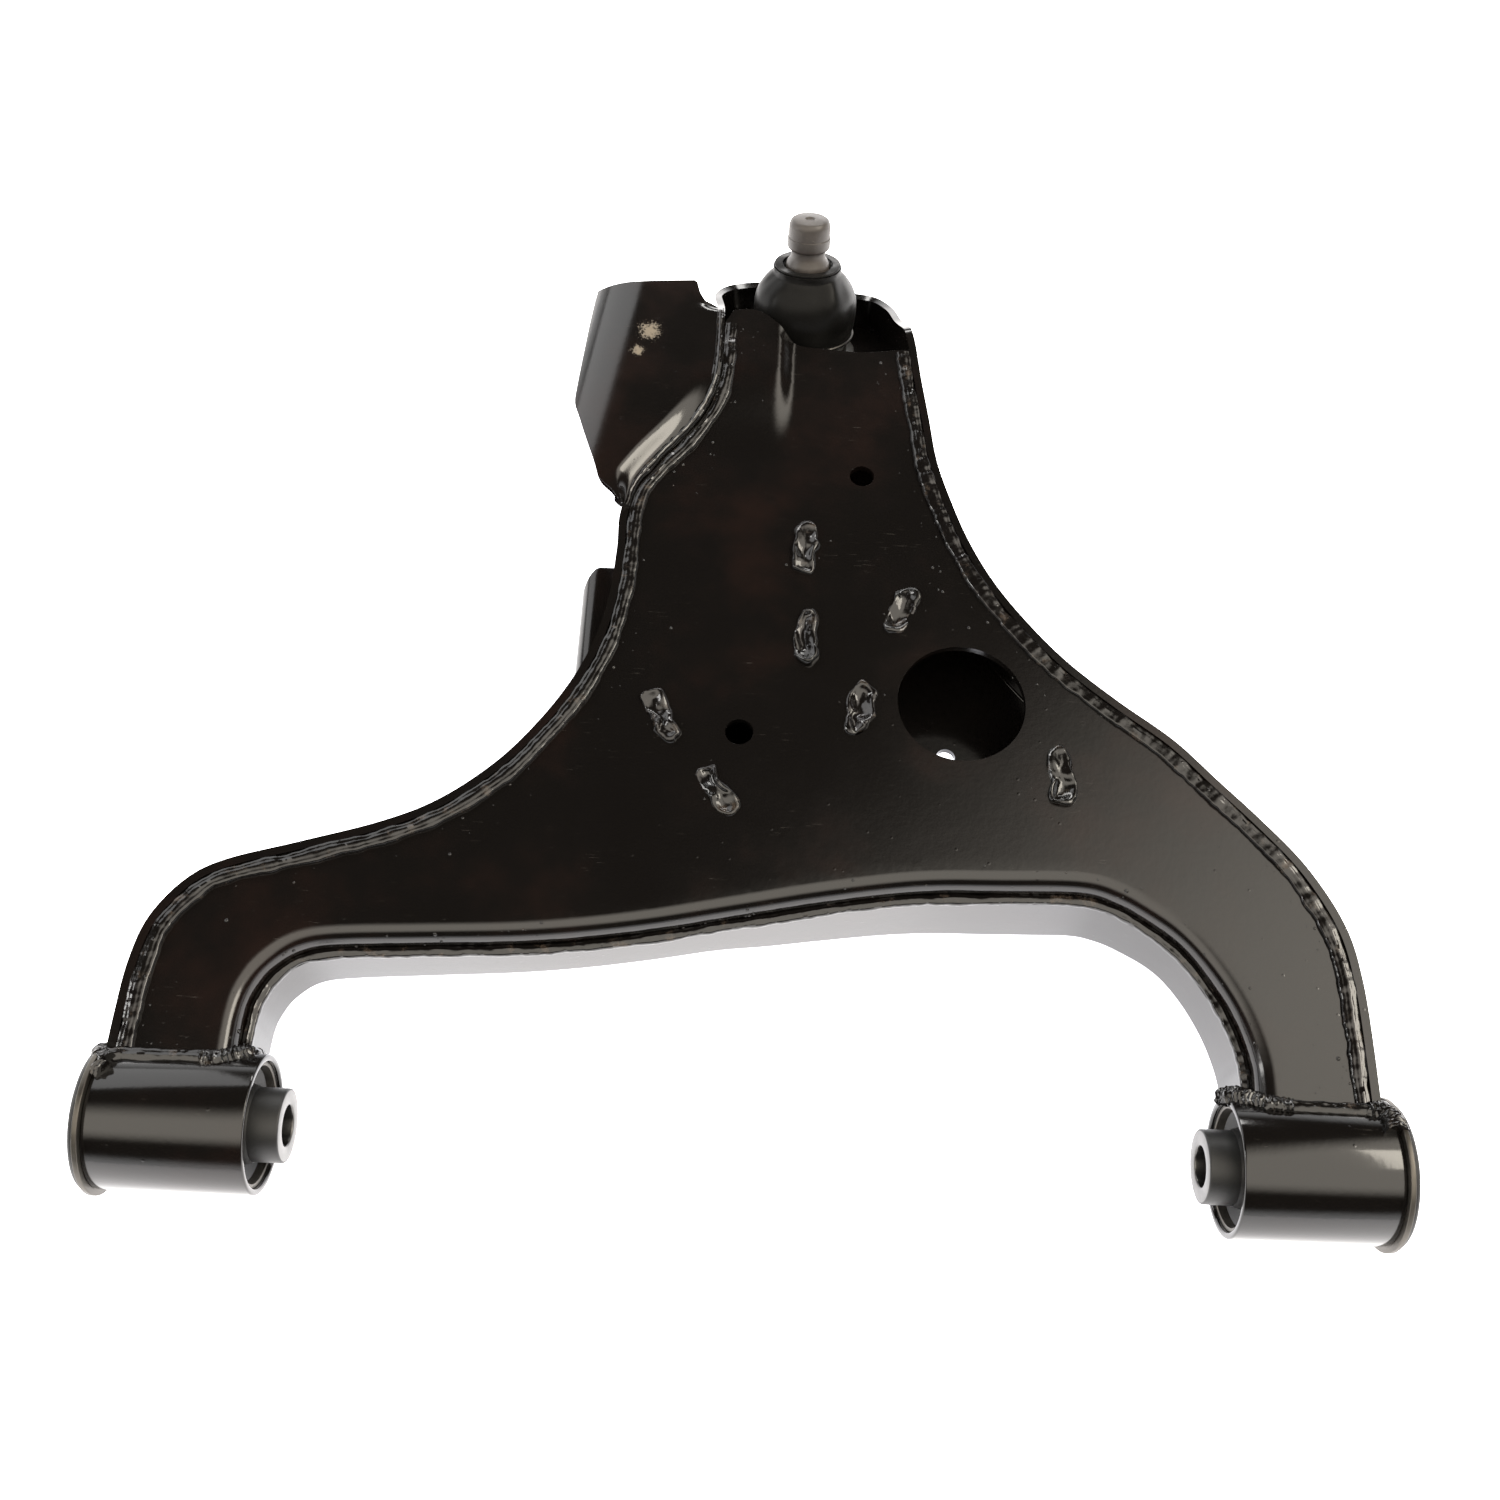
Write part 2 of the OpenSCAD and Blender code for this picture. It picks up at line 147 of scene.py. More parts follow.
class ArmShellSettings(bpy.types.PropertyGroup):
    """Sizes of the two pressings."""
    sheet: FloatProperty(name="Sheet", description="Thickness of the pressed sheet, mm", default=4.0)
    deck_height: FloatProperty(name="Deck height", description="Deck over the pivot axis, mm",
                               default=20.0)
    bend_radius: FloatProperty(name="Arch bend", description="Outside radius of the arch bend, mm",
                               default=8.5)
    floor_radius: FloatProperty(name="Floor bend", description="Outside radius of the tub's bend, mm",
                                default=5.0)
    rise: FloatProperty(name="Joggle", description="Height of the step at the stud end, mm", default=6.0)
    pitch: FloatProperty(name="Mesh pitch", description="Spacing of the outline's points, mm", default=2.4)


class ArmWeldSettings(bpy.types.PropertyGroup):
    """Sizes of the weld beads."""
    width: FloatProperty(name="Bead width", description="Width of a seam bead on the deck, mm", default=8.2)
    ripple_pitch: FloatProperty(name="Ripple pitch", description="Spacing of the ripples, mm", default=2.1)
    ripple_depth: FloatProperty(name="Ripple depth", description="Height of the ripples, mm", default=0.004)
    wander: FloatProperty(name="Wander", description="Unevenness of the bead, mm", default=0.8)
    slot_length: FloatProperty(name="Slot length", description="Length of a plug weld slot, mm",
                               default=28.0)
    slot_width: FloatProperty(name="Slot width", description="Width of a plug weld slot, mm", default=9.0)
    spatter: IntProperty(name="Spatter", description="Droplets of spatter left under the coat", default=260)


class ArmFinishSettings(bpy.types.PropertyGroup):
    """Colours and gloss of the finishes."""
    coat: FloatVectorProperty(name="Coat", description="Colour of the dip coat", subtype="COLOR",
                              default=(0.0042, 0.0036, 0.0033), min=0, max=1)
    coat_roughness: FloatProperty(name="Coat roughness", description="Roughness of the dip coat",
                                  default=0.13)
    stud: FloatVectorProperty(name="Stud", description="Colour of the phosphated stud", subtype="COLOR",
                              default=(0.05, 0.043, 0.038), min=0, max=1)
    rubber: FloatVectorProperty(name="Rubber", description="Colour of the dust boot", subtype="COLOR",
                                default=(0.006, 0.0058, 0.0055), min=0, max=1)


class ArmStageSettings(bpy.types.PropertyGroup):
    """Camera and light of the studio."""
    eye: FloatVectorProperty(name="Eye", description="Where the camera stands", subtype="TRANSLATION",
                             default=(0.24575, -0.15524, 0.72407), precision=5)
    lens: FloatProperty(name="Lens", description="Focal length on a 36 mm sensor, mm", default=38.4)
    tilt: FloatProperty(name="Tilt", description="Camera's lean from the deck's normal",
                        default=math.radians(26), subtype="ANGLE")
    roll: FloatProperty(name="Roll", description="Camera's turn about its own axis",
                        default=math.radians(2.56), subtype="ANGLE")
    floor_size: FloatProperty(name="Floor", description="Side of the floor", default=12.0,
                              subtype="DISTANCE")


# ---- outlines ----

def smooth_path(points, parts=10):
    """A smooth curve through points, as a list of 2D vectors."""
    pts = [Vector(p) for p in points]
    last = len(pts) - 1
    out = []
    for i in range(last):
        p0, p1, p2, p3 = pts[max(i - 1, 0)], pts[i], pts[i + 1], pts[min(i + 2, last)]
        for k in range(parts):
            t = k / parts
            out.append(0.5 * (2 * p1 + (p2 - p0) * t + (2 * p0 - 5 * p1 + 4 * p2 - p3) * t * t
                              + (3 * p1 - p0 - 3 * p2 + p3) * t ** 3))
    out.append(pts[last])
    return out


def path_lengths(path):
    """How far along the path each of its points is."""
    lengths = [0.0]
    for a, b in zip(path, path[1:]):
        lengths.append(lengths[-1] + (b - a).length)
    return lengths


def even_path(points, pitch):
    """The curve through points, at even steps near pitch."""
    fine = smooth_path(points)
    lengths = path_lengths(fine)
    count = max(2, round(lengths[-1] / pitch))
    out, j = [], 0
    for k in range(count + 1):
        want = lengths[-1] * k / count
        while j < len(fine) - 2 and lengths[j + 1] < want:
            j += 1
        share = (want - lengths[j]) / max(lengths[j + 1] - lengths[j], 1e-9)
        out.append(fine[j].lerp(fine[j + 1], min(max(share, 0), 1)))
    return out


def inward(path, i):
    """Unit normal at the right of the path's heading, which faces into the arm."""
    heading = path[min(i + 1, len(path) - 1)] - path[max(i - 1, 0)]
    return Vector((heading.y, -heading.x)).normalized()


def moved_in(path, distance):
    """The path offset into the arm."""
    return [p + inward(path, i) * distance for i, p in enumerate(path)]


def circle(x, y, radius, count, squeeze=1.0):
    """Points round a circle, squeezed along y."""
    steps = [2 * math.pi * k / count for k in range(count)]
    return [Vector((x + radius * math.cos(a), y + radius * squeeze * math.sin(a))) for a in steps]


def slot_outline(x, y, turn, width, length, arc=8):
    """A round-ended slot's outline, turned by turn degrees, with arc steps in each end."""
    radius, reach = width / 2, (length - width) / 2
    pts = [Vector((radius * math.cos(math.pi * k / arc), reach + radius * math.sin(math.pi * k / arc)))
           for k in range(arc + 1)]
    pts += [-p for p in pts]
    spin = Matrix.Rotation(math.radians(turn), 2)
    return [Vector((x, y)) + spin @ p for p in pts]


def looked_up(table, value):
    """A height from a table of (place, height), straight between its rows."""
    for (a, za), (b, zb) in zip(table, table[1:]):
        if value <= b:
            return za + (zb - za) * min(max((value - a) / (b - a), 0), 1)
    return table[-1][1]


def eased_lookup(table, value, reach=10):
    """The table's height, averaged over reach to each side so that its corners are round."""
    return sum(looked_up(table, value + reach * k / 3) for k in range(-3, 4)) / 7


def smoothstep(low, high, value):
    """0 below low, 1 above high, and an eased rise between them."""
    t = min(max((value - low) / (high - low), 0), 1)
    return t * t * (3 - 2 * t)


def inside(point, ring):
    """Whether a point lies in a closed outline."""
    hit = False
    for a, b in zip(ring, ring[1:] + ring[:1]):
        if (a.y > point.y) != (b.y > point.y):
            if point.x < a.x + (b.x - a.x) * (point.y - a.y) / (b.y - a.y):
                hit = not hit
    return hit


def stud_axis():
    """The stud's direction at rest, as the frame gives it."""
    return next(j for j in frame["joints"] if j["name"] == "stud_spin")["axis"]


def stud_frame():
    """Matrix from the stud's own millimetres, t along Z, to the frame's metres at rest."""
    axis, side = Vector(stud_axis()).normalized(), Vector((1, 0, 0))
    turn = Matrix((side, axis.cross(side), axis)).transposed().to_4x4()
    return Matrix.Translation(SEAT * MM) @ turn @ Matrix.Scale(MM, 4)


def stud_tilt():
    """The stud's lean outboard from the deck's normal, in radians."""
    _, outboard, up = stud_axis()
    return math.atan2(outboard, up)


def rise_at(x, y, shell):
    """The pressed step at the stud end of the deck: how far it stands over the deck."""
    return shell.rise * smoothstep(364, 424, y) * (1 - smoothstep(250.5, 262, x))


def seat_floor_z(y):
    """Underside of the cradle's floor, which is square to the stud."""
    tilt = stud_tilt()
    return SEAT.z + FLOOR_T * math.cos(tilt) - (y - SEAT.y - FLOOR_T * math.sin(tilt)) * math.tan(tilt)


def floor_z(x, y):
    """Underside of the lower shell."""
    near_arch = 1 - smoothstep(125, 195, y)
    across = eased_lookup(FLOOR_ACROSS, x) * (1 - near_arch) + eased_lookup(FLOOR_ARCH, x) * near_arch
    along = eased_lookup(FLOOR_ALONG + [(434, seat_floor_z(434))], y) if y < 428 else seat_floor_z(y)
    return max(across, along)


def wall_top_z(x, y, shell):
    """Top edge of the tub's side walls, which falls away round the cradle."""
    proud, slope = 2, 0.554
    flat = shell.deck_height + proud + rise_at(x, y, shell)
    return flat - max(0, y - 455) * slope - 4 * smoothstep(452, 474, y)


# ---- meshes ----

def add_object(name, verts, faces, material, sharp=SHARP, scale=MM):
    """A mesh object at the origin, shaded and in its material; its points are in millimetres."""
    mesh = bpy.data.meshes.new(name)
    mesh.from_pydata([Vector(v) * scale for v in verts], [], faces)
    mesh.validate()
    mesh.materials.append(material)
    obj = bpy.data.objects.new(name, mesh)
    bpy.context.collection.objects.link(obj)
    smooth_shading(mesh, sharp)
    return obj


def smooth_shading(mesh, sharp):
    """Shades a mesh smooth but for edges sharper than that angle."""
    mesh.shade_smooth()
    mesh.set_sharp_from_angle(angle=sharp)


def merged(obj, distance):
    """Merges points closer than distance millimetres and makes the faces agree."""
    work = bmesh.new()
    work.from_mesh(obj.data)
    bmesh.ops.remove_doubles(work, verts=work.verts, dist=distance * MM)
    bmesh.ops.dissolve_degenerate(work, edges=work.edges, dist=distance * MM)
    bmesh.ops.recalc_face_normals(work, faces=work.faces)
    work.to_mesh(obj.data)
    work.free()


def face_way(obj, way):
    """Turns the whole skin over unless its faces point up (way 1) or down (way -1) on the average."""
    if way * sum(p.normal.z * p.area for p in obj.data.polygons) < 0:
        obj.data.flip_normals()


def plain(obj):
    """Makes the modifiers' result the object's own mesh."""
    graph = bpy.context.evaluated_depsgraph_get()
    mesh = bpy.data.meshes.new_from_object(obj.evaluated_get(graph))
    obj.modifiers.clear()
    old = obj.data
    obj.data = mesh
    bpy.data.meshes.remove(old)


def thickened(obj, sheet, edge=1.1):
    """Gives a skin the sheet's thickness, inwards, with its edges rounded over edge millimetres."""
    wall = obj.modifiers.new("sheet", "SOLIDIFY")
    wall.thickness = sheet * MM
    wall.offset = -1
    wall.use_even_offset = True
    wall.use_quality_normals = True
    ease = obj.modifiers.new("edge", "BEVEL")
    ease.width = edge * MM
    ease.segments = 3
    ease.limit_method = "ANGLE"
    ease.angle_limit = math.radians(55)
    plain(obj)
    smooth_shading(obj.data, SHARP)
    even = obj.modifiers.new("shading", "WEIGHTED_NORMAL")
    even.mode = "FACE_AREA_WITH_ANGLE"
    even.keep_sharp = True
    plain(obj)


def saddled(obj):
    """Draws the legs' ends onto the bushing tubes."""
    stop, sunk, clear = 46, 1, 6
    for v in obj.data.vertices:
        y, z = v.co.y / MM, v.co.z / MM
        if y < stop and abs(z) < TUBE_R + clear:
            reach = math.sqrt(max((TUBE_R - sunk) ** 2 - z * z, 0))
            share = (y - LEG_END) / (stop - LEG_END)
            v.co.y = (reach + (stop - reach) * share) * MM
    obj.data.update()


def grid_points(outline, holes, low, high, spacing, gap):
    """Staggered points between two corners, in the region and clear of its outline and holes by gap."""
    near, cell = {}, max(spacing, gap)
    for ring in [outline] + holes:
        for p in ring:
            near.setdefault((int(p.x // cell), int(p.y // cell)), []).append(p)
    points, row, y = [], 0, low.y + spacing / 2
    while y < high.y:
        x = low.x + (spacing / 2 if row % 2 else 0)
        while x < high.x:
            p = Vector((x, y))
            column, line = int(x // cell), int(y // cell)
            close = any((q - p).length < gap for i in (-1, 0, 1) for j in (-1, 0, 1)
                        for q in near.get((column + i, line + j), []))
            if not close and inside(p, outline) and not any(inside(p, ring) for ring in holes):
                points.append(p)
            x += spacing
        y += spacing * 0.87
        row += 1
    return points


def region_mesh(outline, holes, height, spacing, fine=None):
    """Triangles of a flat region with holes, with points inside it so that height can shape it.

    fine is a box (low, high, spacing) of closer points, where height is steep."""
    pts, edges = [], []
    for ring in [outline] + holes:
        first = len(pts)
        pts += ring
        edges += [(first + k, first + (k + 1) % len(ring)) for k in range(len(ring))]
    low = Vector((min(p.x for p in outline), min(p.y for p in outline)))
    high = Vector((max(p.x for p in outline), max(p.y for p in outline)))
    pts += grid_points(outline, holes, low, high, spacing, spacing * 0.6)
    if fine:
        pts += grid_points(outline, holes, Vector(fine[0]), Vector(fine[1]), fine[2], spacing * 0.5)
    flat, _, tris, _, _, _ = delaunay_2d_cdt(pts, edges, [], 1, 1e-5)
    kept = []
    for tri in tris:
        middle = sum((flat[i] for i in tri), Vector((0, 0))) / len(tri)
        if inside(middle, outline) and not any(inside(middle, ring) for ring in holes):
            kept.append(tuple(tri))
    return [(p.x, p.y, height(p.x, p.y)) for p in flat], kept


def strip_faces(rows, columns, closed=False):
    """Quads of a grid of rows by columns; closed joins each row's end to its start."""
    faces = []
    span = columns if closed else columns - 1
    for i in range(rows - 1):
        for j in range(span):
            a, b = i * columns + j, i * columns + (j + 1) % columns
            faces.append((a, b, b + columns, a + columns))
    return faces


def joined(parts):
    """One list of points and faces from several."""
    verts, faces = [], []
    for some_verts, some_faces in parts:
        first = len(verts)
        verts += some_verts
        faces += [tuple(first + i for i in face) for face in some_faces]
    return verts, faces


def eased_profile(corners, radius, segments=3):
    """A closed profile with each corner cut round by about radius."""
    out = []
    count = len(corners)
    for i, here in enumerate(corners):
        here = Vector(here)
        before, after = Vector(corners[i - 1]), Vector(corners[(i + 1) % count])
        a, b = before - here, after - here
        cut = min(radius, a.length * 0.45, b.length * 0.45)
        if abs(a.normalized().dot(b.normalized()) + 1) < 0.02:
            out.append(here)
            continue
        p, q = here + a.normalized() * cut, here + b.normalized() * cut
        for k in range(segments + 1):
            t = k / segments
            out.append(p * (1 - t) ** 2 + here * 2 * t * (1 - t) + q * t * t)
    return out


def turned(name, profile, place, material, ease, sharp=SHARP):
    """A closed profile of (t, radius) turned about its t axis and put in place.

    ease is how far its corners are cut round."""
    ring = eased_profile(profile, ease) if ease else [Vector(p) for p in profile]
    count, size = 128, len(ring)
    verts, faces = [], []
    for k in range(count):
        a = 2 * math.pi * k / count
        verts += [place @ Vector((p.y * math.cos(a), p.y * math.sin(a), p.x)) for p in ring]
        first, after = k * size, (k + 1) % count * size
        for j in range(size):
            jj = (j + 1) % size
            faces.append((first + j, after + j, after + jj, first + jj))
    obj = add_object(name, verts, faces, material, sharp, scale=1)
    merged(obj, 0.002)
    smooth_shading(obj.data, sharp)
    return obj


def along_pivot(mirrored=False):
    """Matrix from a turned part's own axis to the pivot axis; mirrored is the rear tube, facing back."""
    turn = Matrix.Rotation(math.radians(90), 4, "Y") @ Matrix.Scale(MM, 4)
    if not mirrored:
        return turn
    return Matrix.Translation((PIVOT_SPAN * MM, 0, 0)) @ Matrix.Rotation(math.pi, 4, "Z") @ turn


def finish_piece(obj, body, slot, *nodes):
    """Puts a piece on its body and in its slot, in the place of the frame's nodes."""
    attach(obj, body)
    if nodes:
        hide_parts(*nodes)
    return obj


# ---- shader node groups and materials ----

def add_socket(tree, name, way, kind, default=None):
    socket = tree.interface.new_socket(name, in_out=way, socket_type=kind)
    if default is not None:
        socket.default_value = default


def make_node(tree, kind, place=(0, 0), **settings):
    node = tree.nodes.new(kind)
    node.location = place
    for key, value in settings.items():
        setattr(node, key, value)
    return node


def feed(tree, source, node, socket):
    """Links a node's first live output, or a socket, to a named or numbered input."""
    if isinstance(source, bpy.types.Node):
        source = next(s for s in source.outputs if s.enabled)
    tree.links.new(source, node.inputs[socket])


def maths(tree, operation, a, b=None, clamp=False):
    """A Math node's output; a and b are numbers, nodes or sockets."""
    node = make_node(tree, "ShaderNodeMath", operation=operation, use_clamp=clamp)
    for index, value in enumerate((a, b)):
        if value is None:
            continue
        if isinstance(value, (int, float)):
            node.inputs[index].default_value = value
        else:
            feed(tree, value, node, index)
    return node.outputs[0]


def ramp(tree, value, low, high, low_out=0.0, high_out=1.0):
    """An eased change from low_out to high_out while value goes from low to high."""
    node = make_node(tree, "ShaderNodeMapRange", interpolation_type="SMOOTHSTEP")
    feed(tree, value, node, "Value")
    node.inputs["From Min"].default_value = low
    node.inputs["From Max"].default_value = high
    node.inputs["To Min"].default_value = low_out
    node.inputs["To Max"].default_value = high_out
    return node.outputs["Result"]


def noise_value(tree, position, scale, detail, roughness=0.55, distortion=0.0):
    """A Noise node's value at a position; scale is a number or a socket."""
    node = make_node(tree, "ShaderNodeTexNoise")
    feed(tree, position, node, "Vector")
    if isinstance(scale, (int, float)):
        node.inputs["Scale"].default_value = scale
    else:
        feed(tree, scale, node, "Scale")
    node.inputs["Detail"].default_value = detail
    node.inputs["Roughness"].default_value = roughness
    node.inputs["Distortion"].default_value = distortion
    return node.outputs["Factor" if "Factor" in node.outputs else "Fac"]


def shader_group(name, inputs, outputs):
    """An empty shader node group with named inputs and outputs, or None if it is there already."""
    if name in bpy.data.node_groups:
        return None, None, None
    tree = bpy.data.node_groups.new(name, "ShaderNodeTree")
    for label, default in inputs:
        add_socket(tree, label, "INPUT", "NodeSocketFloat", default)
    for label, kind in outputs:
        add_socket(tree, label, "OUTPUT", kind)
    return tree, make_node(tree, "NodeGroupInput", (-900, 0)), make_node(tree, "NodeGroupOutput", (900, 0))


def coat_surface_group():
    """Dip coat: orange peel, sags and dust nibs as a height, and a slow cloud for its colour and gloss."""
    tree, given, result = shader_group(
        "coat_surface",
        [("Peel Scale", 420.0), ("Nib Scale", 260.0), ("Nib Amount", 0.5), ("Cloud Scale", 14.0)],
        [("Height", "NodeSocketFloat"), ("Cloud", "NodeSocketFloat")])
    if tree is None:
        return bpy.data.node_groups["coat_surface"]
    place = make_node(tree, "ShaderNodeTexCoord").outputs["Object"]
    peel = noise_value(tree, place, given.outputs["Peel Scale"], 1.5)
    sag = noise_value(tree, place, 60.0, 2.0)
    cells = make_node(tree, "ShaderNodeTexVoronoi", feature="F1")
    feed(tree, place, cells, "Vector")
    feed(tree, given.outputs["Nib Scale"], cells, "Scale")
    spot = ramp(tree, cells.outputs["Distance"], 0.1, 0.22, 1.0, 0.0)
    colour = make_node(tree, "ShaderNodeSeparateColor")
    feed(tree, cells.outputs["Color"], colour, 0)
    rare = maths(tree, "GREATER_THAN", colour.outputs[0], 0.93)
    nibs = maths(tree, "MULTIPLY", maths(tree, "MULTIPLY", spot, rare), given.outputs["Nib Amount"])
    soft = maths(tree, "ADD", maths(tree, "MULTIPLY", peel, 0.35), maths(tree, "MULTIPLY", sag, 0.65))
    feed(tree, maths(tree, "ADD", soft, maths(tree, "MULTIPLY", nibs, 1.6)), result, "Height")
    feed(tree, noise_value(tree, place, given.outputs["Cloud Scale"], 4.0, 0.6), result, "Cloud")
    return tree


def rubbed_group():
    """Handling marks: scratches and rubbed patches, as one mask."""
    tree, given, result = shader_group(
        "rubbed_marks", [("Scratch Scale", 90.0), ("Patch Scale", 35.0), ("Amount", 0.5)],
        [("Mask", "NodeSocketFloat")])
    if tree is None:
        return bpy.data.node_groups["rubbed_marks"]
    place = make_node(tree, "ShaderNodeTexCoord").outputs["Object"]
    stretch = make_node(tree, "ShaderNodeMapping")
    stretch.inputs["Rotation"].default_value = (0, 0, 0.6)
    stretch.inputs["Scale"].default_value = (1.0, 14.0, 1.0)
    feed(tree, place, stretch, "Vector")
    lines = noise_value(tree, stretch.outputs["Vector"], given.outputs["Scratch Scale"], 2.0)
    patch = noise_value(tree, place, given.outputs["Patch Scale"], 5.0, 0.7)
    cut = maths(tree, "MULTIPLY", ramp(tree, lines, 0.66, 0.7), ramp(tree, patch, 0.52, 0.68))
    feed(tree, maths(tree, "MULTIPLY", cut, given.outputs["Amount"], clamp=True), result, "Mask")
    return tree


def grain_group():
    """Fine grain for steel and rubber: a small bump and a slow change of shade."""
    tree, given, result = shader_group(
        "fine_grain", [("Grain Scale", 900.0), ("Shade Scale", 40.0)],
        [("Height", "NodeSocketFloat"), ("Shade", "NodeSocketFloat")])
    if tree is None:
        return bpy.data.node_groups["fine_grain"]
    place = make_node(tree, "ShaderNodeTexCoord").outputs["Object"]
    feed(tree, noise_value(tree, place, given.outputs["Grain Scale"], 3.0, 0.6), result, "Height")
    feed(tree, noise_value(tree, place, given.outputs["Shade Scale"], 5.0, 0.65), result, "Shade")
    return tree


def new_material(name):
    """A material with its Principled shader ready to feed."""
    mat = bpy.data.materials.new(name)
    mat.use_nodes = True
    return mat, mat.node_tree, mat.node_tree.nodes["Principled BSDF"]


def placed_group(tree, group, **values):
    """A group node with its inputs set; an underscore stands for the space in an input's name."""
    node = make_node(tree, "ShaderNodeGroup", (-500, 0), node_tree=group)
    for label, value in values.items():
        node.inputs[label.replace("_", " ")].default_value = value
    return node


def colour_mix(tree, factor, a, b):
    """From a to b by factor; a and b are colours or sockets."""
    node = make_node(tree, "ShaderNodeMix", data_type="RGBA")
    feed(tree, factor, node, 0)
    for socket, value in ((6, a), (7, b)):
        if isinstance(value, tuple):
            node.inputs[socket].default_value = (*value, 1.0)
        else:
            feed(tree, value, node, socket)
    return node.outputs[2]


def bumped(tree, shader, height, strength, distance):
    """Feeds a height to the shader's normal; distance is in metres."""
    bump = make_node(tree, "ShaderNodeBump", (-200, -300))
    bump.inputs["Strength"].default_value = strength
    bump.inputs["Distance"].default_value = distance
    feed(tree, height, bump, "Height")
    feed(tree, bump.outputs["Normal"], shader, "Normal")


def coat_material():
    """Gloss black dip coat over pressed steel, warmer where the cloud is thick."""
    name = "gloss_black_coat"
    if name in bpy.data.materials:
        return bpy.data.materials[name]
    finish = bpy.context.scene.arm_finish
    mat, tree, shader = new_material(name)
    skin = placed_group(tree, coat_surface_group())
    worn = placed_group(tree, rubbed_group(), Amount=0.2)
    dark = tuple(finish.coat)
    warm = (dark[0] * 2.1, dark[1] * 1.3, dark[2] * 1.1)
    base = colour_mix(tree, ramp(tree, skin.outputs["Cloud"], 0.45, 0.75), dark, warm)
    base = colour_mix(tree, worn.outputs["Mask"], base, (0.09, 0.082, 0.072))
    feed(tree, base, shader, "Base Color")
    gloss = finish.coat_roughness
    rough = ramp(tree, skin.outputs["Cloud"], 0.3, 0.75, gloss * 0.85, gloss * 1.35)
    rough = maths(tree, "ADD", rough, maths(tree, "MULTIPLY", worn.outputs["Mask"], 0.3), clamp=True)
    feed(tree, rough, shader, "Roughness")
    bumped(tree, shader, skin.outputs["Height"], 0.28, 0.00018)
    return mat


def scuff_group():
    """A rubbed patch about one place: dense in its middle, broken up into specks towards its edge."""
    tree, given, result = shader_group(
        "scuff_patch", [("Place X", 0.0), ("Place Y", 0.0), ("Radius", 0.01), ("Speck Scale", 700.0)],
        [("Mask", "NodeSocketFloat")])
    if tree is None:
        return bpy.data.node_groups["scuff_patch"]
    place = make_node(tree, "ShaderNodeTexCoord").outputs["Object"]
    part = make_node(tree, "ShaderNodeSeparateXYZ")
    feed(tree, place, part, 0)
    gaps = [maths(tree, "POWER", maths(tree, "SUBTRACT", part.outputs[i], given.outputs[i]), 2.0)
            for i in (0, 1)]
    away = maths(tree, "DIVIDE", maths(tree, "SQRT", maths(tree, "ADD", *gaps)), given.outputs["Radius"])
    specks = noise_value(tree, place, given.outputs["Speck Scale"], 6.0, 0.75)
    patch = noise_value(tree, place, 160.0, 4.0, 0.6)
    cover = maths(tree, "ADD", maths(tree, "MULTIPLY", away, 0.2), maths(tree, "MULTIPLY", patch, -0.35))
    mask = maths(tree, "SUBTRACT", maths(tree, "SUBTRACT", specks, 0.36), cover)
    feed(tree, ramp(tree, mask, 0.0, 0.2), result, "Mask")
    return tree


def pad_material():
    """The coat on the stop pad, rubbed through in two patches."""
    name = "scuffed_pad_coat"
    if name in bpy.data.materials:
        return bpy.data.materials[name]
    mat = coat_material().copy()
    mat.name = name
    tree = mat.node_tree
    shader = tree.nodes["Principled BSDF"]
    for x, y, radius in PAD_SCUFFS:
        patch = placed_group(tree, scuff_group(), Place_X=x * MM, Place_Y=y * MM, Radius=radius * MM)
        colour, rough = (shader.inputs[name].links[0].from_socket for name in ("Base Color", "Roughness"))
        feed(tree, colour_mix(tree, patch.outputs["Mask"], colour, (0.17, 0.14, 0.1)), shader, "Base Color")
        share = maths(tree, "MULTIPLY", patch.outputs["Mask"], 0.55)
        feed(tree, maths(tree, "ADD", rough, share, clamp=True), shader, "Roughness")
    return mat


def weld_material():
    """The same coat over weld metal, with brown slag patches and a finer peel."""
    name = "coated_weld_bead"
    if name in bpy.data.materials:
        return bpy.data.materials[name]
    finish = bpy.context.scene.arm_finish
    mat, tree, shader = new_material(name)
    skin = placed_group(tree, coat_surface_group(), Peel_Scale=900.0, Nib_Amount=1.0)
    grain = placed_group(tree, grain_group(), Grain_Scale=1500.0, Shade_Scale=120.0)
    slag = ramp(tree, grain.outputs["Shade"], 0.56, 0.72)
    base = colour_mix(tree, slag, tuple(finish.coat), (0.045, 0.034, 0.026))
    feed(tree, base, shader, "Base Color")
    feed(tree, ramp(tree, grain.outputs["Shade"], 0.3, 0.7, 0.08, 0.2), shader, "Roughness")
    bumped(tree, shader, skin.outputs["Height"], 0.35, 0.0003)
    return mat


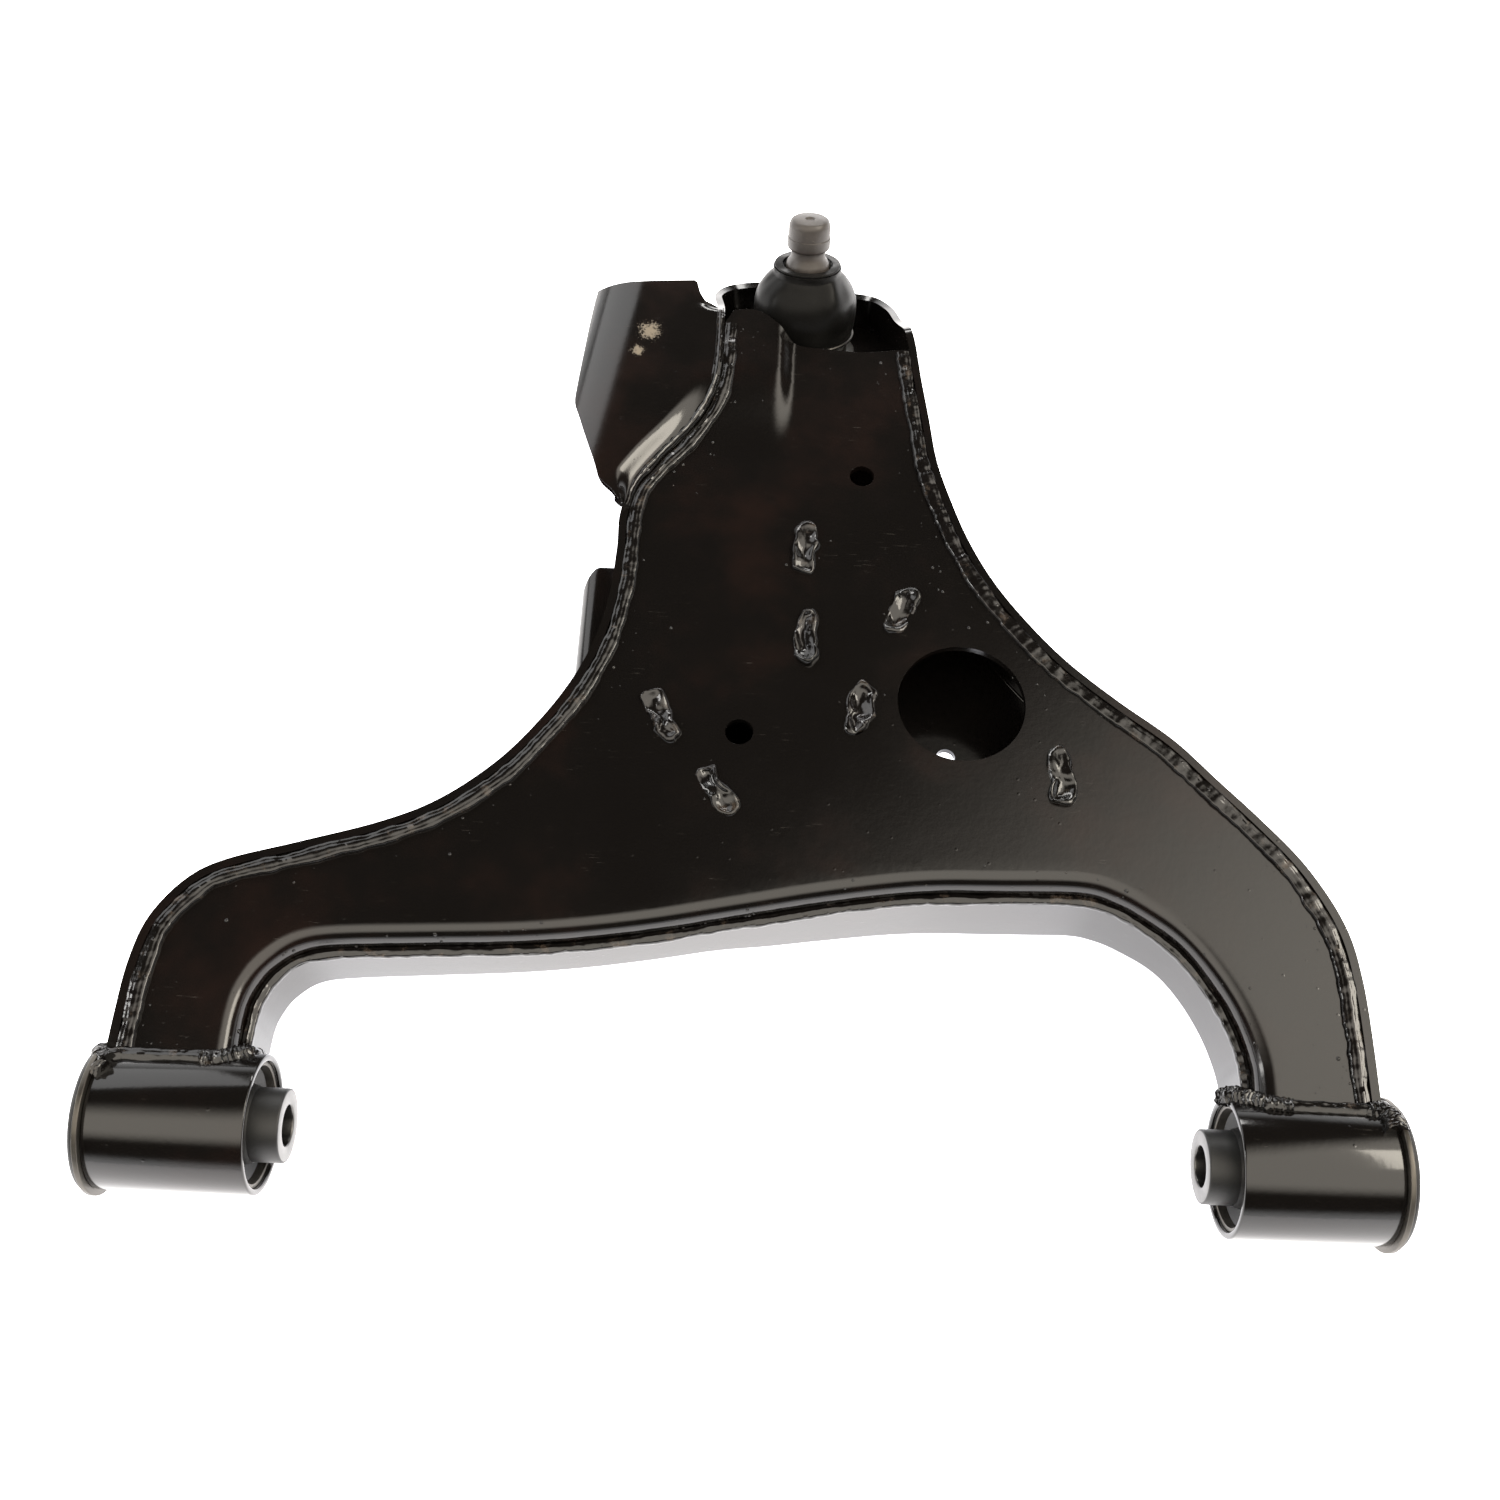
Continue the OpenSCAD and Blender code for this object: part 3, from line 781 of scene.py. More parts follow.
def metal_material(name, colour, roughness, metallic, grain_scale=1400.0, depth=0.00004, spots=None):
    """Bare or phosphated steel: grain and slow shading, with marks of the colour spots."""
    if name in bpy.data.materials:
        return bpy.data.materials[name]
    mat, tree, shader = new_material(name)
    grain = placed_group(tree, grain_group(), Grain_Scale=grain_scale, Shade_Scale=55.0)
    low = tuple(c * 0.75 for c in colour)
    high = tuple(c * 1.2 for c in colour)
    base = colour_mix(tree, ramp(tree, grain.outputs["Shade"], 0.3, 0.7), low, high)
    if spots:
        worn = placed_group(tree, rubbed_group(), Amount=1.0, Scratch_Scale=220.0, Patch_Scale=80.0)
        base = colour_mix(tree, worn.outputs["Mask"], base, spots)
    feed(tree, base, shader, "Base Color")
    rough = ramp(tree, grain.outputs["Shade"], 0.25, 0.75, roughness * 0.85, roughness * 1.2)
    feed(tree, rough, shader, "Roughness")
    shader.inputs["Metallic"].default_value = metallic
    bumped(tree, shader, grain.outputs["Height"], 0.6, depth)
    return mat


def rubber_material(name, colour, roughness, depth=0.00006, folds=0.0, shine=0.5):
    """Moulded rubber or plastic: satin, with a fine grain and a faint bloom; folds is its slackness."""
    if name in bpy.data.materials:
        return bpy.data.materials[name]
    mat, tree, shader = new_material(name)
    grain = placed_group(tree, grain_group(), Grain_Scale=1100.0, Shade_Scale=30.0)
    bloom = tuple(c * 1.7 for c in colour)
    base = colour_mix(tree, ramp(tree, grain.outputs["Shade"], 0.4, 0.75), colour, bloom)
    feed(tree, base, shader, "Base Color")
    rough = ramp(tree, grain.outputs["Shade"], 0.3, 0.7, roughness * 0.9, roughness * 1.15)
    feed(tree, rough, shader, "Roughness")
    height = grain.outputs["Height"]
    if folds:
        place = make_node(tree, "ShaderNodeTexCoord").outputs["Object"]
        slack = noise_value(tree, place, 34.0, 1.0, 0.4, 0.6)
        height = maths(tree, "ADD", height, maths(tree, "MULTIPLY", slack, folds))
    bumped(tree, shader, height, 0.5, depth)
    shader.inputs["Specular IOR Level"].default_value = shine
    return mat


def sleeve_material():
    """Inner sleeve: faced steel at its ends and in its bore, a dark moulded skin outside."""
    name = "sleeve_faced_steel"
    if name in bpy.data.materials:
        return bpy.data.materials[name]
    mat, tree, shader = new_material(name)
    grain = placed_group(tree, grain_group(), Grain_Scale=1200.0, Shade_Scale=60.0)
    place = make_node(tree, "ShaderNodeSeparateXYZ")
    feed(tree, make_node(tree, "ShaderNodeTexCoord").outputs["Object"], place, 0)
    squares = [maths(tree, "POWER", place.outputs[i], 2.0) for i in (1, 2)]
    radius = maths(tree, "SQRT", maths(tree, "ADD", *squares))
    skin = ramp(tree, radius, 0.01555, 0.01585)
    shade = ramp(tree, grain.outputs["Shade"], 0.3, 0.7)
    steel = colour_mix(tree, shade, (0.07, 0.068, 0.066), (0.13, 0.127, 0.123))
    feed(tree, colour_mix(tree, skin, steel, (0.007, 0.007, 0.007)), shader, "Base Color")
    feed(tree, maths(tree, "SUBTRACT", 1.0, skin), shader, "Metallic")
    feed(tree, ramp(tree, skin, 0.0, 1.0, 0.3, 0.48), shader, "Roughness")
    bumped(tree, shader, grain.outputs["Height"], 0.4, 0.00004)
    return mat


def polymer_material():
    """The pale bearing polymer of the race, seat and cup."""
    return rubber_material("bearing_acetal", (0.62, 0.6, 0.53), 0.4, 0.00002)


# ---- geometry nodes ----

def grow_tree(name, inputs):
    """A geometry node group with named inputs, its input node and its output node."""
    tree = bpy.data.node_groups.new(name, "GeometryNodeTree")
    add_socket(tree, "Geometry", "INPUT", "NodeSocketGeometry")
    for label, kind, default in inputs:
        add_socket(tree, label, "INPUT", kind, default)
    add_socket(tree, "Geometry", "OUTPUT", "NodeSocketGeometry")
    return tree, make_node(tree, "NodeGroupInput", (-1200, 0)), make_node(tree, "NodeGroupOutput", (1200, 0))


def captured(tree, geometry, value, label):
    """Keeps a field on the geometry: the geometry's socket and the field's."""
    node = make_node(tree, "GeometryNodeCaptureAttribute")
    node.capture_items.new("FLOAT", label)
    feed(tree, geometry, node, 0)
    feed(tree, value, node, 1)
    return node.outputs[0], node.outputs[1]


def scaled_vector(tree, vector, amount):
    node = make_node(tree, "ShaderNodeVectorMath", operation="SCALE")
    feed(tree, vector, node, 0)
    feed(tree, amount, node, "Scale")
    return node.outputs[0]


def noise_offset(tree, scale, amount, seed):
    """A smooth noise vector field about zero, up to amount along each axis."""
    place = make_node(tree, "GeometryNodeInputPosition")
    cloud = make_node(tree, "ShaderNodeTexNoise", noise_dimensions="4D")
    feed(tree, place, cloud, "Vector")
    feed(tree, seed, cloud, "W")
    cloud.inputs["Scale"].default_value = scale
    cloud.inputs["Detail"].default_value = 0.3
    centred = make_node(tree, "ShaderNodeVectorMath", operation="SUBTRACT")
    feed(tree, cloud.outputs["Color"], centred, 0)
    centred.inputs[1].default_value = (0.5, 0.5, 0.5)
    return scaled_vector(tree, centred.outputs[0], maths(tree, "MULTIPLY", amount, 2.0))


def moved_by(tree, geometry, offset):
    """The geometry with its points moved by a vector field."""
    node = make_node(tree, "GeometryNodeSetPosition")
    feed(tree, geometry, node, "Geometry")
    feed(tree, offset, node, "Offset")
    return node.outputs[0]


def finished_tree(tree, geometry, given, result):
    """Ends a tree: real geometry, shaded smooth, in its material."""
    real = make_node(tree, "GeometryNodeRealizeInstances")
    feed(tree, geometry, real, 0)
    smooth = make_node(tree, "GeometryNodeSetShadeSmooth")
    feed(tree, real, smooth, 0)
    coat = make_node(tree, "GeometryNodeSetMaterial")
    feed(tree, smooth, coat, "Geometry")
    feed(tree, given.outputs["Material"], coat, "Material")
    feed(tree, coat, result, 0)
    return tree


def weld_bead_tree():
    """A weld bead along the input's edges: a flattened round section with crescent ripples."""
    tree, given, result = grow_tree("weld_bead", [
        ("Width", "NodeSocketFloat", 0.008), ("Height", "NodeSocketFloat", 0.003),
        ("Pitch", "NodeSocketFloat", 0.0021), ("Depth", "NodeSocketFloat", 0.0002),
        ("Wander", "NodeSocketFloat", 0.0005), ("Strands", "NodeSocketFloat", 0.00022),
        ("Seed", "NodeSocketFloat", 1.0), ("Material", "NodeSocketMaterial", None)])
    curve = make_node(tree, "GeometryNodeMeshToCurve")
    feed(tree, given.outputs["Geometry"], curve, 0)
    even = make_node(tree, "GeometryNodeResampleCurve", mode="LENGTH")
    feed(tree, curve, even, "Curve")
    feed(tree, maths(tree, "MULTIPLY", given.outputs["Pitch"], 0.27), even, "Length")
    shaken = moved_by(tree, even, noise_offset(tree, 55.0, given.outputs["Wander"], given.outputs["Seed"]))
    upright = make_node(tree, "GeometryNodeSetCurveNormal", mode="Z_UP")
    feed(tree, shaken, upright, "Curve")
    swell = make_node(tree, "ShaderNodeTexNoise", noise_dimensions="4D")
    feed(tree, make_node(tree, "GeometryNodeInputPosition"), swell, "Vector")
    feed(tree, maths(tree, "ADD", given.outputs["Seed"], 7.0), swell, "W")
    swell.inputs["Scale"].default_value = 85.0
    radius = make_node(tree, "GeometryNodeSetCurveRadius")
    feed(tree, upright, radius, "Curve")
    feed(tree, ramp(tree, swell.outputs[0], 0.25, 0.75, 0.82, 1.16), radius, "Radius")
    travel = make_node(tree, "GeometryNodeSplineParameter")
    body, along = captured(tree, radius.outputs[0], travel.outputs["Length"], "along")
    ring = make_node(tree, "GeometryNodeCurvePrimitiveCircle")
    ring.inputs["Resolution"].default_value = 24
    ring.inputs["Radius"].default_value = 1.0
    spot = make_node(tree, "ShaderNodeSeparateXYZ")
    feed(tree, make_node(tree, "GeometryNodeInputPosition"), spot, 0)
    ring_kept, across = captured(tree, ring.outputs[0], spot.outputs["X"], "across")
    size = make_node(tree, "ShaderNodeCombineXYZ")
    feed(tree, maths(tree, "MULTIPLY", given.outputs["Width"], 0.5), size, "X")
    feed(tree, given.outputs["Height"], size, "Y")
    size.inputs["Z"].default_value = 1.0
    section = make_node(tree, "GeometryNodeTransform")
    feed(tree, ring_kept, section, "Geometry")
    feed(tree, size, section, "Scale")
    sweep = make_node(tree, "GeometryNodeCurveToMesh")
    feed(tree, body, sweep, "Curve")
    feed(tree, section, sweep, "Profile Curve")
    sweep.inputs["Fill Caps"].default_value = True
    if "Scale" in sweep.inputs:
        reach = make_node(tree, "GeometryNodeInputRadius")
        feed(tree, reach, sweep, "Scale")
    steps = maths(tree, "DIVIDE", along, given.outputs["Pitch"])
    bow = maths(tree, "MULTIPLY", maths(tree, "POWER", maths(tree, "ABSOLUTE", across), 2.0), 0.9)
    crescent = maths(tree, "SUBTRACT", steps, bow)
    wave = maths(tree, "SINE", maths(tree, "MULTIPLY", crescent, 2 * math.pi))
    strands = maths(tree, "COSINE", maths(tree, "MULTIPLY", across, 8.5))
    height = maths(tree, "ADD", maths(tree, "MULTIPLY", wave, given.outputs["Depth"]),
                   maths(tree, "MULTIPLY", strands, given.outputs["Strands"]))
    lift = scaled_vector(tree, make_node(tree, "GeometryNodeInputNormal"), height)
    rippled = moved_by(tree, sweep.outputs[0], lift)
    small = maths(tree, "MULTIPLY", given.outputs["Wander"], 0.35)
    rough = moved_by(tree, rippled, noise_offset(tree, 260.0, small, given.outputs["Seed"]))
    return finished_tree(tree, rough, given, result)


def plug_weld_tree():
    """One copy of the weld at each of the input's points, turned to its heading and made uneven."""
    tree, given, result = grow_tree("plug_weld_row", [
        ("Weld", "NodeSocketObject", None), ("Unevenness", "NodeSocketFloat", 0.0005),
        ("Seed", "NodeSocketFloat", 3.0), ("Material", "NodeSocketMaterial", None)])
    weld = make_node(tree, "GeometryNodeObjectInfo")
    feed(tree, given.outputs["Weld"], weld, "Object")
    heading = make_node(tree, "GeometryNodeInputNamedAttribute", data_type="FLOAT")
    heading.inputs["Name"].default_value = "heading"
    turn = make_node(tree, "ShaderNodeCombineXYZ")
    feed(tree, heading.outputs["Attribute"], turn, "Z")
    copies = make_node(tree, "GeometryNodeInstanceOnPoints")
    feed(tree, given.outputs["Geometry"], copies, "Points")
    feed(tree, weld.outputs["Geometry"], copies, "Instance")
    feed(tree, turn, copies, "Rotation")
    real = make_node(tree, "GeometryNodeRealizeInstances")
    feed(tree, copies, real, 0)
    amount, seed = given.outputs["Unevenness"], given.outputs["Seed"]
    coarse = moved_by(tree, real, noise_offset(tree, 100.0, amount, seed))
    fine = moved_by(tree, coarse, noise_offset(tree, 330.0, maths(tree, "MULTIPLY", amount, 0.1), seed))
    return finished_tree(tree, fine, given, result)


def spatter_tree():
    """Small drops of weld spatter over the input's faces, crowded where near_weld is high."""
    tree, given, result = grow_tree("weld_spatter", [
        ("Density", "NodeSocketFloat", 4000.0), ("Largest", "NodeSocketFloat", 0.0012),
        ("Seed", "NodeSocketInt", 5), ("Material", "NodeSocketMaterial", None)])
    near = make_node(tree, "GeometryNodeInputNamedAttribute", data_type="FLOAT")
    near.inputs["Name"].default_value = "near_weld"
    scatter = make_node(tree, "GeometryNodeDistributePointsOnFaces")
    feed(tree, given.outputs["Geometry"], scatter, "Mesh")
    density = maths(tree, "MULTIPLY", near.outputs["Attribute"], given.outputs["Density"])
    feed(tree, density, scatter, "Density")
    feed(tree, given.outputs["Seed"], scatter, "Seed")
    drop = make_node(tree, "GeometryNodeMeshIcoSphere")
    drop.inputs["Radius"].default_value = 1.0
    drop.inputs["Subdivisions"].default_value = 2
    dice = make_node(tree, "FunctionNodeRandomValue", data_type="FLOAT")
    feed(tree, given.outputs["Seed"], dice, "Seed")
    portion = maths(tree, "ADD", maths(tree, "POWER", dice.outputs[1], 3.0), 0.3)
    wide = maths(tree, "MULTIPLY", portion, given.outputs["Largest"])
    size = make_node(tree, "ShaderNodeCombineXYZ")
    feed(tree, wide, size, "X")
    feed(tree, wide, size, "Y")
    feed(tree, maths(tree, "MULTIPLY", wide, 0.6), size, "Z")
    copies = make_node(tree, "GeometryNodeInstanceOnPoints")
    feed(tree, scatter.outputs["Points"], copies, "Points")
    feed(tree, drop.outputs["Mesh"], copies, "Instance")
    feed(tree, scatter.outputs["Rotation"], copies, "Rotation")
    feed(tree, size, copies, "Scale")
    return finished_tree(tree, copies, given, result)


def grown(name, mesh, tree, **inputs):
    """A plain mesh object made by running mesh through a geometry node tree with these inputs."""
    obj = bpy.data.objects.new(name, mesh)
    bpy.context.collection.objects.link(obj)
    grow = obj.modifiers.new("grow", "NODES")
    grow.node_group = tree
    for item in tree.interface.items_tree:
        if item.in_out == "INPUT" and item.name in inputs:
            grow[item.identifier] = inputs[item.name]
    plain(obj)
    obj.data.name = name
    if not len(obj.data.polygons):
        raise RuntimeError(name + ": the tree made no faces")
    return obj


def path_mesh(name, *paths, closed=False):
    """Edges along each path of millimetre points, for a bead to follow."""
    verts, edges = [], []
    for path in paths:
        first = len(verts)
        verts += [Vector(p) * MM for p in path]
        edges += [(first + k, first + k + 1) for k in range(len(path) - 1)]
        if closed:
            edges.append((len(verts) - 1, first))
    mesh = bpy.data.meshes.new(name + "_path")
    mesh.from_pydata(verts, edges, [])
    return mesh


def tree_named(name, builder):
    """The node group of that name, built if it isn't there yet."""
    return bpy.data.node_groups.get(name) or builder()


def bead(name, paths, width, height, seed, closed=False, **changes):
    """A weld bead along each path of 3D millimetre points; changes go to the tree's own inputs."""
    weld = bpy.context.scene.arm_welds
    inputs = {"Width": width * MM, "Height": height * MM, "Pitch": weld.ripple_pitch * MM,
              "Depth": weld.ripple_depth * MM, "Wander": weld.wander * MM, "Seed": float(seed),
              "Material": weld_material()}
    inputs.update(changes)
    route = path_mesh(name, *paths, closed=closed)
    obj = grown(name, route, tree_named("weld_bead", weld_bead_tree), **inputs)
    merged(obj, 0.01)
    smooth_shading(obj.data, SHARP_BEAD)
    return obj


def one_object(name, objs):
    """Joins finished meshes into one."""
    work = bmesh.new()
    for old in objs:
        work.from_mesh(old.data)
    out = bpy.data.meshes.new(name)
    work.to_mesh(out)
    work.free()
    out.materials.append(objs[0].data.materials[0])
    for poly in out.polygons:
        poly.material_index = 0
    obj = bpy.data.objects.new(name, out)
    bpy.context.collection.objects.link(obj)
    for old in objs:
        mesh = old.data
        bpy.data.objects.remove(old)
        bpy.data.meshes.remove(mesh)
    smooth_shading(out, SHARP_BEAD)
    return obj


# ---- stage ----

def set_world():
    """A large soft source over the arm's inboard and rear side, a pale horizon and dark elsewhere.

    nx and ny are where a direction meets a ceiling one unit up; edge is past the source's slanted end."""
    world = bpy.data.worlds.new("studio")
    bpy.context.scene.world = world
    world.use_nodes = True
    tree = world.node_tree
    back = tree.nodes["Background"]
    part = make_node(tree, "ShaderNodeSeparateXYZ")
    feed(tree, make_node(tree, "ShaderNodeTexCoord").outputs["Generated"], part, 0)
    up = maths(tree, "MAXIMUM", part.outputs["Z"], 0.05)
    nx, ny = maths(tree, "DIVIDE", part.outputs["X"], up), maths(tree, "DIVIDE", part.outputs["Y"], up)
    lean = maths(tree, "MULTIPLY", maths(tree, "MAXIMUM", nx, -0.12), 1.13)
    edge = maths(tree, "SUBTRACT", maths(tree, "SUBTRACT", ny, 0.154), lean)
    box = ramp(tree, edge, -0.25, 0.25, 1.0, 0.0)
    for value, low, high in ((nx, 0.9, 1.5), (maths(tree, "MULTIPLY", nx, -1.0), 0.9, 1.6),
                             (maths(tree, "MULTIPLY", ny, -1.0), 0.6, 1.3)):
        box = maths(tree, "MULTIPLY", box, ramp(tree, value, low, high, 1.0, 0.0))
    box = maths(tree, "MULTIPLY", box, ramp(tree, part.outputs["Z"], 0.0, 0.1))
    horizon = ramp(tree, part.outputs["Z"], 0.02, 0.26, 1.8, 0.0)
    level = maths(tree, "ADD", maths(tree, "MULTIPLY", box, 3.0), 0.02)
    warm = make_node(tree, "ShaderNodeCombineColor")
    for index, share in enumerate((1.0, 0.93, 0.82)):
        feed(tree, maths(tree, "ADD", maths(tree, "MULTIPLY", level, share), horizon), warm, index)
    feed(tree, warm, back, "Color")
    back.inputs["Strength"].default_value = 1.0


def soft_panel(name, place, target, size, size_y, power, colour=(1.0, 0.985, 0.96)):
    """A rectangular light at place that faces target."""
    light = bpy.data.lights.new(name, "AREA")
    light.shape = "RECTANGLE"
    light.size, light.size_y = size, size_y
    light.energy = power
    light.color = colour
    obj = bpy.data.objects.new(name, light)
    bpy.context.collection.objects.link(obj)
    obj.location = place
    obj.rotation_euler = (Vector(target) - Vector(place)).to_track_quat("-Z", "Y").to_euler()


def build_stage():
    """The glowing floor, the camera, the world and the lights."""
    scene = bpy.context.scene
    stage = scene.arm_stage
    half, under = stage.floor_size / 2, CAD_BOX[0][2] - 0.0005
    centre = Vector((PIVOT_SPAN * MM / 2, 0.24))
    verts = [(centre.x + i * half, centre.y + j * half, under) for i, j in
             ((-1, -1), (1, -1), (1, 1), (-1, 1))]
    mat, tree, shader = new_material("pale_floor")
    place = make_node(tree, "ShaderNodeTexCoord").outputs["Object"]
    shade = colour_mix(tree, noise_value(tree, place, 3.0, 2.0), (0.93, 0.93, 0.93), (0.9, 0.9, 0.9))
    feed(tree, shade, shader, "Base Color")
    shader.inputs["Roughness"].default_value = 0.9
    shader.inputs["Emission Color"].default_value = (0.93, 0.935, 1, 1)
    shader.inputs["Emission Strength"].default_value = 1.9
    add_object("studio_floor", verts, [(0, 1, 2, 3)], mat, scale=1)

    data = bpy.data.cameras.new("camera")
    data.lens, data.sensor_width = stage.lens, 36
    camera = bpy.data.objects.new("camera", data)
    bpy.context.collection.objects.link(camera)
    turn = Matrix.Rotation(stage.tilt, 4, "X") @ Matrix.Rotation(stage.roll, 4, "Z")
    camera.matrix_world = Matrix.Translation(stage.eye) @ turn
    scene.camera = camera
    scene.view_settings.view_transform = "Standard"

    set_world()
    soft_panel("spark_far", (0.3, 1.7, 0.75), (0.25, 0.25, 0), 0.9, 0.25, 9)
    soft_panel("spark_front", (-1.3, 0.35, 0.8), (0.25, 0.25, 0), 0.25, 0.8, 7)
    soft_panel("strip_rear", (2.457, 0.693, 2.39), (0.18, 0.36, 0.03), 1.5, 1.1, 50, (1.0, 0.93, 0.8))
    soft_panel("glow_left", (-0.99, 1.74, 1.03), (0.15, 0.42, 0.03), 1.6, 1.3, 15, (1.0, 1.0, 1.0))


# ---- pieces ----

def build_upper_shell():
    """The deck with its joggle and holes, and the flange bent down along the arch."""
    scene = bpy.context.scene
    shell, weld = scene.arm_shells, scene.arm_welds
    bend, nest, steps = shell.bend_radius, shell.sheet + 0.5, 10
    front = moved_in(even_path(FRONT_EDGE, shell.pitch), shell.sheet + 0.2)
    rear = moved_in(even_path(REAR_EDGE, shell.pitch), shell.sheet + 0.2)
    rear = [p for p in rear if p.y <= DECK_END[-1][1]]
    arch = even_path(ARCH_EDGE, shell.pitch)
    outline = front + even_path(DECK_END, shell.pitch)[:-1] + rear + moved_in(arch, nest + bend)
    holes = [circle(x, y, r, max(24, int(r * 2.6))) for x, y, r in DECK_HOLES]
    holes += [slot_outline(x, y, turn, weld.slot_width + 0.6, weld.slot_length + 0.6)
              for x, y, turn in PLUG_SLOTS]

    def height(x, y):
        return shell.deck_height + rise_at(x, y, shell)

    deck = region_mesh(outline, holes, height, 6.0, ((176, 360), (266, 462), 2.2))
    rows = []
    for k in range(steps + 1):
        a = math.pi / 2 * k / steps
        rows.append([(p.x, p.y, shell.deck_height - bend + bend * math.cos(a))
                     for p in moved_in(arch, nest + bend - bend * math.sin(a))])
    rows.append([(x, y, 4.0) for x, y, _ in rows[-1]])
    strip = ([p for row in rows for p in row], strip_faces(len(rows), len(arch)))
    verts, faces = joined([deck, strip])
    obj = add_object("upper_shell_skin", verts, faces, coat_material())
    merged(obj, 0.05)
    face_way(obj, 1)
    thickened(obj, shell.sheet, 1.9)
    saddled(obj)
    finish_piece(obj, "arm", "black_paint", "upper_shell")


def floor_strip(path, top, radius, steps=6):
    """Rows of a side wall: its top edge, down its face, round to the floor."""
    rows = []
    for share in (0.0, 0.5, 1.0):
        row = []
        for p in path:
            high, low = top(p.x, p.y), floor_z(p.x, p.y) + radius
            row.append((p.x, p.y, high + (low - high) * share))
        rows.append(row)
    for k in range(1, steps + 1):
        a = math.pi / 2 * k / steps
        rows.append([(q.x, q.y, floor_z(q.x, q.y) + radius * (1 - math.sin(a)))
                     for q in moved_in(path, radius * (1 - math.cos(a)))])
    return [p for row in rows for p in row], strip_faces(len(rows), len(path))


def build_lower_shell():
    """The tub: side walls round the outer edge and the arch, and the floor between them."""
    shell = bpy.context.scene.arm_shells
    rim = even_path(FRONT_EDGE + CRADLE_EDGE + REAR_EDGE, shell.pitch)
    arch = even_path(ARCH_EDGE, shell.pitch)
    radius = shell.floor_radius
    sides = floor_strip(rim, lambda x, y: wall_top_z(x, y, shell), radius)
    inner = floor_strip(arch, lambda x, y: 8.0, radius)
    tilt = stud_tilt()
    middle = SEAT.y + FLOOR_T * math.sin(tilt)
    holes = [circle(*DRAIN_HOLE, 72), circle(SEAT.x, middle, HOUSING_R + 0.3, 72, math.cos(tilt))]
    floor = region_mesh(moved_in(rim, radius) + moved_in(arch, radius), holes, floor_z, 7.0)
    verts, faces = joined([sides, inner, floor])
    obj = add_object("lower_shell_tub", verts, faces, coat_material())
    merged(obj, 0.05)
    face_way(obj, -1)
    thickened(obj, shell.sheet)
    saddled(obj)
    smooth_shading(obj.data, SHARP)
    finish_piece(obj, "arm", "black_paint", "lower_shell")


def point_along(path, share):
    """The point at that share of a path's length."""
    lengths = path_lengths(path)
    want = share * lengths[-1]
    for k in range(len(path) - 1):
        if lengths[k + 1] >= want:
            part = (want - lengths[k]) / max(lengths[k + 1] - lengths[k], 1e-9)
            return path[k].lerp(path[k + 1], part)
    return path[-1]


def pad_height(p):
    """The pad's top: flat, then curling down round a cylinder towards the pivot's front end."""
    a, b, radius = Vector(PAD_CURL[0]), Vector(PAD_CURL[1]), PAD_CURL[2]
    line = (b - a).normalized()
    past = (p - a).dot(Vector((-line.y, line.x)))
    past = min(max(past, 0), radius * 0.998)
    return PAD_TOP - radius + math.sqrt(radius ** 2 - past ** 2)


def build_stop_pad():
    """The pad: rows from its seam up a short ramp, over the curled top and down the folded lip.

    Past count rows, extra more close it off along its end."""
    shell = bpy.context.scene.arm_shells
    seam, edge, end = smooth_path(PAD_SEAM, 12), smooth_path(PAD_FOLD, 12), [Vector(p) for p in PAD_END]
    count, extra, across, ramp_width = 84, 12, 44, 13.0
    shares = [math.sin(math.pi / 2 * k / across) for k in range(across + 1)]
    verts = []
    for k in range(count + extra + 1):
        share = min(k / count, 1)
        a, b = point_along(seam, share), point_along(edge, share)
        low = min(wall_top_z(a.x, a.y, shell) + 1.8, PAD_TOP)
        reach = min(ramp_width, (b - a).length * 0.6)
        row = []
        for portion in shares:
            p = a.lerp(b, portion)
            if k > count:
                p = p.lerp(point_along(end, portion), (k - count) / extra)
            drop = (PAD_TOP - low) * (1 - smoothstep(0, reach, (p - a).length))
            row.append((p.x, p.y, pad_height(p) - drop))
        depth = 18 * smoothstep(393, 405, b.y)
        x, y, z = row[-1]
        row += [(x, y, z - 0.1 - depth * n / 3) for n in range(1, 4)]
        verts += row
    faces = strip_faces(count + extra + 1, len(row))
    obj = add_object("stop_pad_plate", verts, faces, pad_material())
    merged(obj, 0.05)
    face_way(obj, 1)
    thickened(obj, shell.sheet)
    finish_piece(obj, "arm", "black_paint", "stop_pad")


